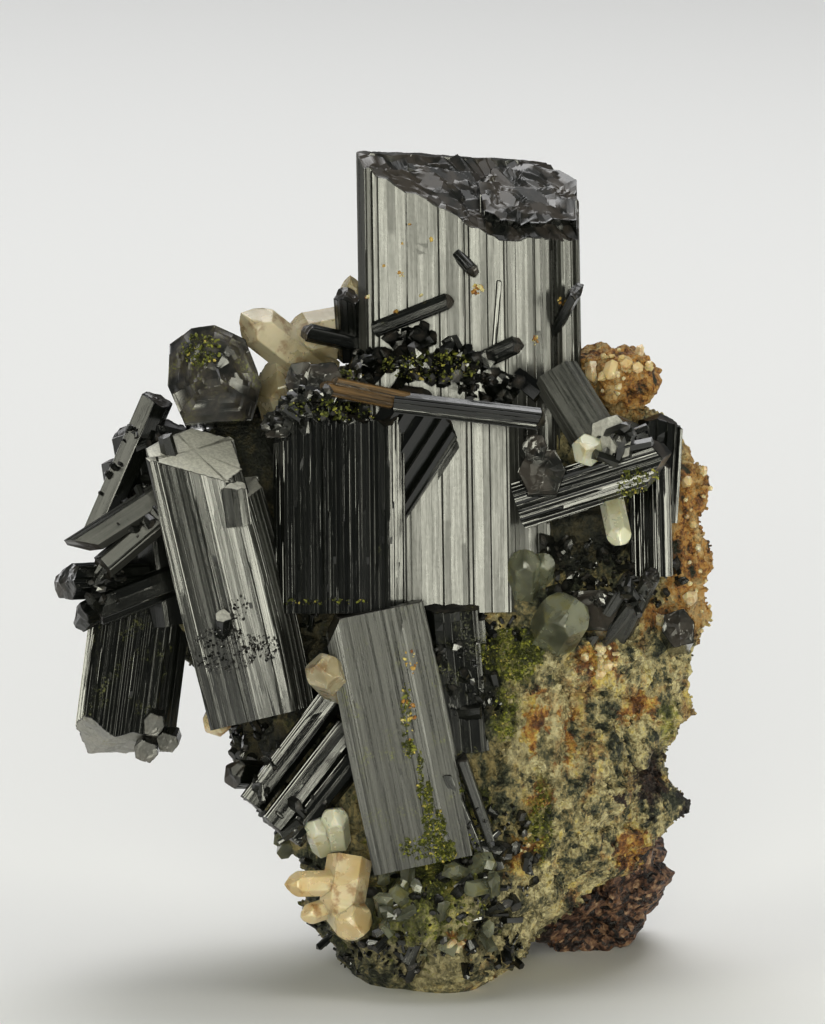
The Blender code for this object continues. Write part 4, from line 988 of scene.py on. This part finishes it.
def quartz(foot, tip, width, seed):
    """A quartz crystal, width across its flats. Its end faces are lifted by turns."""
    reach = width / math.sqrt(3)
    turn = np.radians(60.0 * np.arange(6))
    outline = reach * np.stack([np.cos(turn), np.sin(turn)], axis=-1)
    lean = turn + math.radians(30)
    lifts = 0.16 * width * (np.arange(6) % 2)
    tops = np.stack([lifts, QUARTZ_SLOPE * np.cos(lean), QUARTZ_SLOPE * np.sin(lean)], axis=-1)
    return crystal(foot, tip, outline, tops, stripe=width / 8, relief=0.0, tilt=0.0, lines=0.0,
                   gap=0.0, row=0.5, rings=24, seed=seed)


def quartz_finish(name, clear, milky, stained, seen_through):
    """Translucent and cloudy, with growth lines across it and brown stains."""
    made, shader, wire = new_finish(name)
    grain = wire.node("Attribute", output="Vector", attribute_name="grain")
    place = places_of(wire)
    cloud = place.noise(0.3, 4.0, 0.5)
    bands = grain.scaled(0.4, 0.4, 4.0).noise(1.0, 3.0)
    stain = (place.noise(0.5, 7.0, 0.65) + cloud * 0.3).rise(0.68, 0.82)
    colour = cloud.rise(0.35, 0.65).mix(clear, milky)
    colour = (stain * 0.7).mix(colour, stained)
    wire.feed(shader.inputs["Base Color"], colour)
    wire.feed(shader.inputs["Roughness"], 0.12 + 0.3 * cloud)
    values = {"IOR": 1.54, "Transmission Weight": seen_through, "Subsurface Weight": 0.5,
              "Subsurface Radius": (0.0012, 0.0009, 0.0005), "Subsurface Scale": 0.5}
    for key, value in values.items():
        shader.inputs[key].default_value = value
    bump = wire.node("Bump", {"Height": bands + cloud, "Distance": 0.04 * MM, "Strength": 0.4})
    wire.feed(shader.inputs["Normal"], bump)
    return made


# Each as its clear, milky and stained colours, and how far it is seen through.
QUARTZ_TINTS = {
    "quartz_cream": ((0.78, 0.60, 0.32), (0.90, 0.78, 0.54), (0.42, 0.20, 0.05), 0.3),
    "quartz_grey": ((0.11, 0.115, 0.078), (0.30, 0.31, 0.215), (0.26, 0.24, 0.07), 0.4),
    "quartz_smoky": ((0.44, 0.37, 0.22), (0.74, 0.67, 0.50), (0.30, 0.16, 0.06), 0.4),
    "quartz_pale": ((0.66, 0.66, 0.48), (0.84, 0.83, 0.70), (0.60, 0.52, 0.26), 0.3),
}
quartz_cream, quartz_grey, quartz_smoky, quartz_pale = (
    quartz_finish(name, *tints) for name, tints in QUARTZ_TINTS.items()
)
OTHER_QUARTZ = {"grey_quartz": quartz_grey, "clear_quartz": quartz_grey, "hidden_quartz": quartz_pale,
                "white_quartz": quartz_pale, "tag_quartz": quartz_pale, "upper_quartz": quartz_smoky,
                "tip_quartz": quartz_smoky, "round_quartz": quartz_smoky}
# Each crystal as its foot, its tip and its width.
QUARTZ = {
    "upper_quartz": [
        ((-7.4, 61.4, 5.4), (-15.9, 68.0, 2.6), 3.9),
        ((-4.6, 66.4, 6.4), (-12.2, 65.0, 4.6), 4.6),
        ((-10.4, 55.4, 5.6), (-12.6, 63.6, 3.6), 5.0),
    ],
    "tip_quartz": [((-4.4, 64.0, 5.0), (-5.0, 71.8, 5.0), 1.9)],
    "corner_quartz": [
        ((-5.0, 13.6, -8.6), (-6.2, 6.6, -11.4), 4.0),
        ((-5.4, 11.2, -9.8), (-11.5, 11.1, -11.8), 2.3),
        ((-6.0, 9.0, -9.0), (-3.6, 6.0, -13.4), 3.6),
        ((-6.0, 9.0, -9.0), (-9.9, 7.8, -11.6), 1.9),
    ],
    "round_quartz": [((-6.0, 30.6, -6.6), (-8.2, 33.0, -13.4), 3.3)],
    "white_quartz": [((19.4, 54.4, 1.0), (18.4, 54.2, -7.6), 2.9)],
    "tag_quartz": [((21.0, 49.6, -3.0), (21.9, 44.8, -9.0), 2.2)],
    "grey_quartz": [((14.0, 33.6, -1.6), (17.4, 39.6, -8.0), 4.6)],
    "clear_quartz": [
        ((12.4, 38.0, -1.0), (12.4, 44.4, -5.4), 2.9),
        ((13.6, 39.0, 0.0), (14.4, 44.0, -4.4), 2.2),
    ],
    "hidden_quartz": [
        ((-7.6, 14.6, -7.0), (-8.6, 17.4, -11.0), 2.2),
        ((-6.2, 15.2, -7.6), (-6.6, 18.6, -11.6), 2.4),
    ],
    "gap_quartz": [((-18.0, 28.0, 4.0), (-18.4, 26.8, -4.6), 2.6)],
}
seeds = itertools.count(1)
for node, crystals in QUARTZ.items():
    skins = [quartz(foot, tip, width, next(seeds)) for foot, tip, width in crystals]
    piece(node + "_crystals", skins, OTHER_QUARTZ.get(node, quartz_cream), "quartz", node)

# What grows on all of these: sugary quartz grains over the rock, small dark crystals and chips in the
# corners between the large ones, yellow-green moss-like growth, and ochre grains stuck on the faces.

BIT_LIMITS = np.array([list(corner) for corner in cad_box]) / MM + CENTRE
GROWTH_SEED, SUGAR_COUNT, NEEDLE_COUNT = 77, 12000, 2600
RAY_START = -50.0


def bits(places, normals, widths, lengths, rng, sides=6, point=0.4, lean=0.7, flat=0.7, mossy=0.0,
         dust=0.0):
    """Small prisms, one at each place, with a pointed end. Any that leaves the solids' box is left out.

    A unit prism is stretched by its own width and length, its corners are moved a little, and it is
    turned so that its axis is the normal there plus a random vector of length lean.
    """
    turn = np.arange(sides) / sides * 2 * math.pi
    ring = np.stack([np.cos(turn), flat * np.sin(turn), np.zeros(sides)], axis=-1) / 2
    shape = np.concatenate([ring - (0, 0, 0.35), ring + (0, 0, 1 - point), [(0, 0, 1.0)]])
    size = np.stack([widths, widths, lengths], axis=-1)[:, None]
    points = (shape + rng.uniform(-0.07, 0.07, (len(places), *shape.shape))) * size
    along = normals + lean * rng.normal(0, 0.6, normals.shape)
    along /= np.linalg.norm(along, axis=-1, keepdims=True)
    across = np.cross(along, rng.normal(0, 1, normals.shape))
    across /= np.linalg.norm(across, axis=-1, keepdims=True)
    axes = np.stack([across, np.cross(along, across), along], axis=1)
    world = places[:, None] + points @ axes
    inside = ((world > BIT_LIMITS[0]) & (world < BIT_LIMITS[1])).all(axis=(1, 2))
    world, points = world[inside], points[inside]
    count = len(world)
    k = np.arange(sides)
    after = (k + 1) % sides
    first = (np.arange(count) * len(shape))[:, None, None]
    quads = np.stack([k, after, after + sides, k + sides], axis=-1)
    tip = np.stack([k + sides, after + sides, np.full(sides, 2 * sides)], axis=-1)
    foot = np.stack([np.zeros(sides - 2, int), k[2:], k[1:-1]], axis=-1)
    triangles = np.concatenate([tip, foot])
    tone = np.repeat(rng.random(count), len(shape))
    ends = np.tile(shape[:, 2] > 0.9, count) * 1.0
    marks = np.stack([tone, ends, np.full_like(tone, dust), np.full_like(tone, mossy)], axis=-1)
    grain = (points + rng.uniform(-30, 30, (count, 1, 3))).reshape(-1, 3)
    quads, triangles = (quads + first).reshape(-1, 4), (triangles + first).reshape(-1, 3)
    return Skin(world.reshape(-1, 3), quads, triangles, grain, marks)


def rock_places(count, rng, wanted):
    """Random places on the rock's skin where wanted is true, and the normals there."""
    grid = rock_skins[0].points[: ROCK_ROWS * ROCK_AROUND].reshape(ROCK_ROWS, ROCK_AROUND, 3)
    ring = np.roll(grid, -1, axis=1) - grid
    normal = np.cross(ring, np.gradient(grid, axis=0))
    area = np.linalg.norm(normal, axis=-1)
    normal = (normal / area[..., None]).reshape(-1, 3)
    weight = area.ravel() * wanted(grid.reshape(-1, 3))
    picked = rng.choice(weight.size, count, p=weight / weight.sum())
    jitter = rng.uniform(0, 1, (count, 1)) * ring.reshape(-1, 3)[picked]
    return grid.reshape(-1, 3)[picked] + jitter, normal[picked]


def seen_places(zones, onto, rng):
    """Random places on the pieces with a word of onto in their names, as seen in the zones.

    A zone is (right, up, half width, half height, count) in the front view.
    """
    graph = bpy.context.evaluated_depsgraph_get()
    places, normals = [], []
    for across, high, wide, tall, count in zones:
        turn, share = rng.uniform(0, 2 * math.pi, count), np.sqrt(rng.random(count))
        rights, ups = across + wide * share * np.cos(turn), high + tall * share * np.sin(turn)
        for right, up in zip(rights, ups):
            start = to_metres(spot(right, up, RAY_START))
            hit, place, normal, _, found, _ = bpy.context.scene.ray_cast(graph, start, -TOWARDS_VIEWER)
            if hit and any(word in found.name for word in onto):
                places.append(np.array(place) / MM + CENTRE)
                normals.append(normal)
    return np.array(places), np.array(normals)


def uneven(count, low, high, rng):
    """Random sizes, many small ones and few large: low + (high - low) share cubed."""
    return low + (high - low) * rng.random(count) ** 3


def grown(found, smallest, largest, shortest, longest, rng, **more):
    """Bits on the found places, from shortest to longest times as long as they are wide."""
    places, normals = found
    widths = uneven(len(places), smallest, largest, rng)
    lengths = widths * rng.uniform(shortest, longest, len(places))
    return bits(places, normals, widths, lengths, rng, **more)


def flakes(found, smallest, largest, share, rng, **more):
    """Flat bits on the found places, all of them the same share as long as they are wide."""
    places, normals = found
    widths = uneven(len(places), smallest, largest, rng)
    return bits(places, normals, widths, widths * share, rng, sides=5, **more)


def sugary(place):
    """Above the foot, on the right or away from the viewer."""
    return (place[:, 2] > 0.6) & ((place[:, 0] > 7) | (place[:, 1] > 4))


def chippy(place):
    """Above the foot, not at the far right, and in patches."""
    return (place[:, 2] > 1) & (place[:, 0] < 12) & (wobble(place / 4.0, 9) > 0.12)


rng = np.random.default_rng(GROWTH_SEED)
DARK_ONES = ("rock", "left", "wall", "tips", "block", "facet", "centre", "hidden_epidote", "foot", "laths")

sugar = grown(rock_places(SUGAR_COUNT, rng, sugary), 0.16, 0.7, 0.5, 1.2, rng, sides=4, lean=1.0, flat=0.9)
piece("sugar", [sugar], rock_paint, "rock")

BLOCKS = [(-6.9, 58.4, 6.5, 1.6, 160), (-2.0, 61.0, 4.0, 2.0, 60), (17.5, 42.0, 6.0, 3.5, 160),
          (24.5, 41.5, 4.0, 3.0, 70), (22.0, 54.0, 3.5, 2.5, 60), (6.0, 32.0, 4.0, 4.5, 60),
          (3.0, 8.0, 8.0, 4.5, 120), (-14.5, 23.0, 3.0, 4.0, 30), (-26.0, 51.0, 4.0, 6.0, 30),
          (-13.0, 57.5, 2.0, 2.0, 20), (-9.0, 17.0, 3.0, 3.0, 30), (10.0, 14.0, 4.0, 6.0, 90),
          (-29.5, 41.0, 2.6, 2.6, 24)]
blocks = grown(seen_places(BLOCKS, DARK_ONES, rng), 0.3, 1.6, 0.6, 1.6, rng, point=0.12, dust=0.12)
FOOT = [(4.0, 62.6, 5.5, 1.5, 130), (1.0, 65.4, 2.2, 1.0, 40), (9.5, 60.8, 4.0, 1.4, 70),
        (-3.0, 62.8, 2.0, 1.2, 40)]
druse = grown(seen_places(FOOT, ("main",), rng), 0.35, 2.0, 0.6, 1.5, rng, point=0.12, lean=1.1)
STAIN = [(-17.5, 34.4, 3.4, 2.4, 420), (-13.6, 34.6, 1.8, 1.3, 160), (-16.0, 38.5, 1.0, 1.4, 40)]
stain = flakes(seen_places(STAIN, ("left_crystal",), rng), 0.10, 0.45, 0.4, rng)
needles = grown(rock_places(NEEDLE_COUNT, rng, chippy), 0.15, 1.0, 0.8, 2.2, rng, point=0.2, lean=1.2)
piece("dark_chips", [blocks, needles, druse, stain], epidote_black, "epidote")


def growth_finish():
    """Dull little growths: ochre to chalk, or olive to lime where they are mossy."""
    made, shader, wire = new_finish("growth")
    marks = wire.node("Attribute", output="Color", attribute_name="marks")
    moss = wire.node("Attribute", output="Alpha", attribute_name="marks")
    tone = marks.part(0)
    stone = tone.ramp((0.0, RUST), (0.35, OCHRE), (0.7, YELLOW), (0.95, CHALK))
    plant = tone.ramp((0.0, OLIVE), (0.55, (0.08, 0.09, 0.018)), (0.92, LIME), (1.0, YELLOW))
    wire.feed(shader.inputs["Base Color"], moss.mix(stone, plant))
    wire.feed(shader.inputs["Roughness"], 0.35 + 0.4 * tone)
    return made


FUZZ = [(-3.0, 61.8, 3.0, 1.2, 500), (24.0, 50.5, 2.6, 2.0, 400), (11.2, 34.0, 3.2, 2.6, 1100),
        (4.5, 13.5, 4.0, 4.5, 500), (6.0, 8.0, 5.0, 3.0, 300), (-19.8, 64.2, 2.0, 1.6, 260),
        (10.4, 28.0, 1.2, 2.6, 300), (14.2, 17.0, 1.0, 4.0, 260), (-24.6, 33.6, 1.0, 1.3, 40)]
STREAKS = [(2.8, 18.5, 0.5, 3.0, 420), (3.9, 15.8, 0.6, 2.8, 420), (4.9, 13.6, 0.7, 2.0, 420),
           (2.0, 22.0, 0.3, 2.6, 160), (6.0, 26.0, 0.3, 6.0, 160), (2.5, 14.8, 2.6, 1.2, 300),
           (0.6, 28.4, 0.5, 3.0, 120), (0.9, 24.6, 0.6, 0.9, 120), (-9.5, 39.2, 7.5, 0.3, 90)]
FOOT_MOSS = [(3.0, 62.6, 5.0, 1.6, 300), (-6.0, 58.4, 6.0, 1.2, 160)]
mossy = seen_places(FUZZ, DARK_ONES + ("round", "striated"), rng)
more = seen_places(STREAKS, ("front", "centre"), rng)
also = seen_places(FOOT_MOSS, ("chips", "rock"), rng)
found = [np.concatenate(group) for group in zip(mossy, more, also)]
fuzz = grown(found, 0.10, 0.40, 0.5, 1.6, rng, sides=4, mossy=1.0)
SPECKS = [(0.2, 74.9, 0.12, 0.15, 4), (-1.6, 72.6, 0.15, 0.15, 5), (0.1, 71.8, 0.3, 0.3, 8),
          (2.0, 69.7, 0.1, 0.1, 3), (-0.4, 68.0, 0.12, 0.12, 4), (-3.2, 69.5, 0.2, 0.2, 5),
          (7.7, 70.3, 0.5, 0.5, 30), (13.5, 65.3, 0.25, 0.5, 12), (3.2, 75.3, 0.12, 0.12, 3),
          (1.0, 76.8, 0.1, 0.1, 3), (16.0, 69.3, 0.2, 0.3, 8), (1.0, 33.3, 0.7, 1.4, 14),
          (0.8, 27.7, 0.7, 2.4, 20)]
specks = flakes(seen_places(SPECKS, ("main", "front"), rng), 0.18, 0.62, 0.6, rng, lean=0.3)
piece("growths", [fuzz, specks], growth_finish(), "rock")

LARGE = [(3.0, 6.5, 6.0, 2.2, 26), (-1.0, 10.5, 3.0, 2.4, 12), (7.0, 12.0, 3.0, 2.0, 8),
         (-12.5, 14.5, 1.5, 2.0, 8)]
places, normals = seen_places(LARGE, ("rock", "chips"), rng)
widths = rng.uniform(1.0, 2.2, len(places))
lengths = widths * rng.uniform(0.7, 1.4, len(places))
large = bits(places, normals, widths, lengths, rng, point=0.15, dust=0.45)
piece("front_druse", [large], quartz_grey, "quartz")
PALE = [(20.0, 33.2, 1.8, 1.6, 16), (5.5, 4.8, 1.2, 0.7, 6), (12.6, 15.0, 1.0, 1.0, 8),
        (30.0, 45.0, 1.8, 9.0, 26), (27.5, 37.2, 1.5, 1.0, 8), (22.0, 62.0, 3.5, 2.5, 20)]
grains = grown(seen_places(PALE, ("rock",), rng), 0.4, 1.6, 0.6, 1.4, rng, flat=0.95)
piece("quartz_grains", [grains], quartz_cream, "quartz")
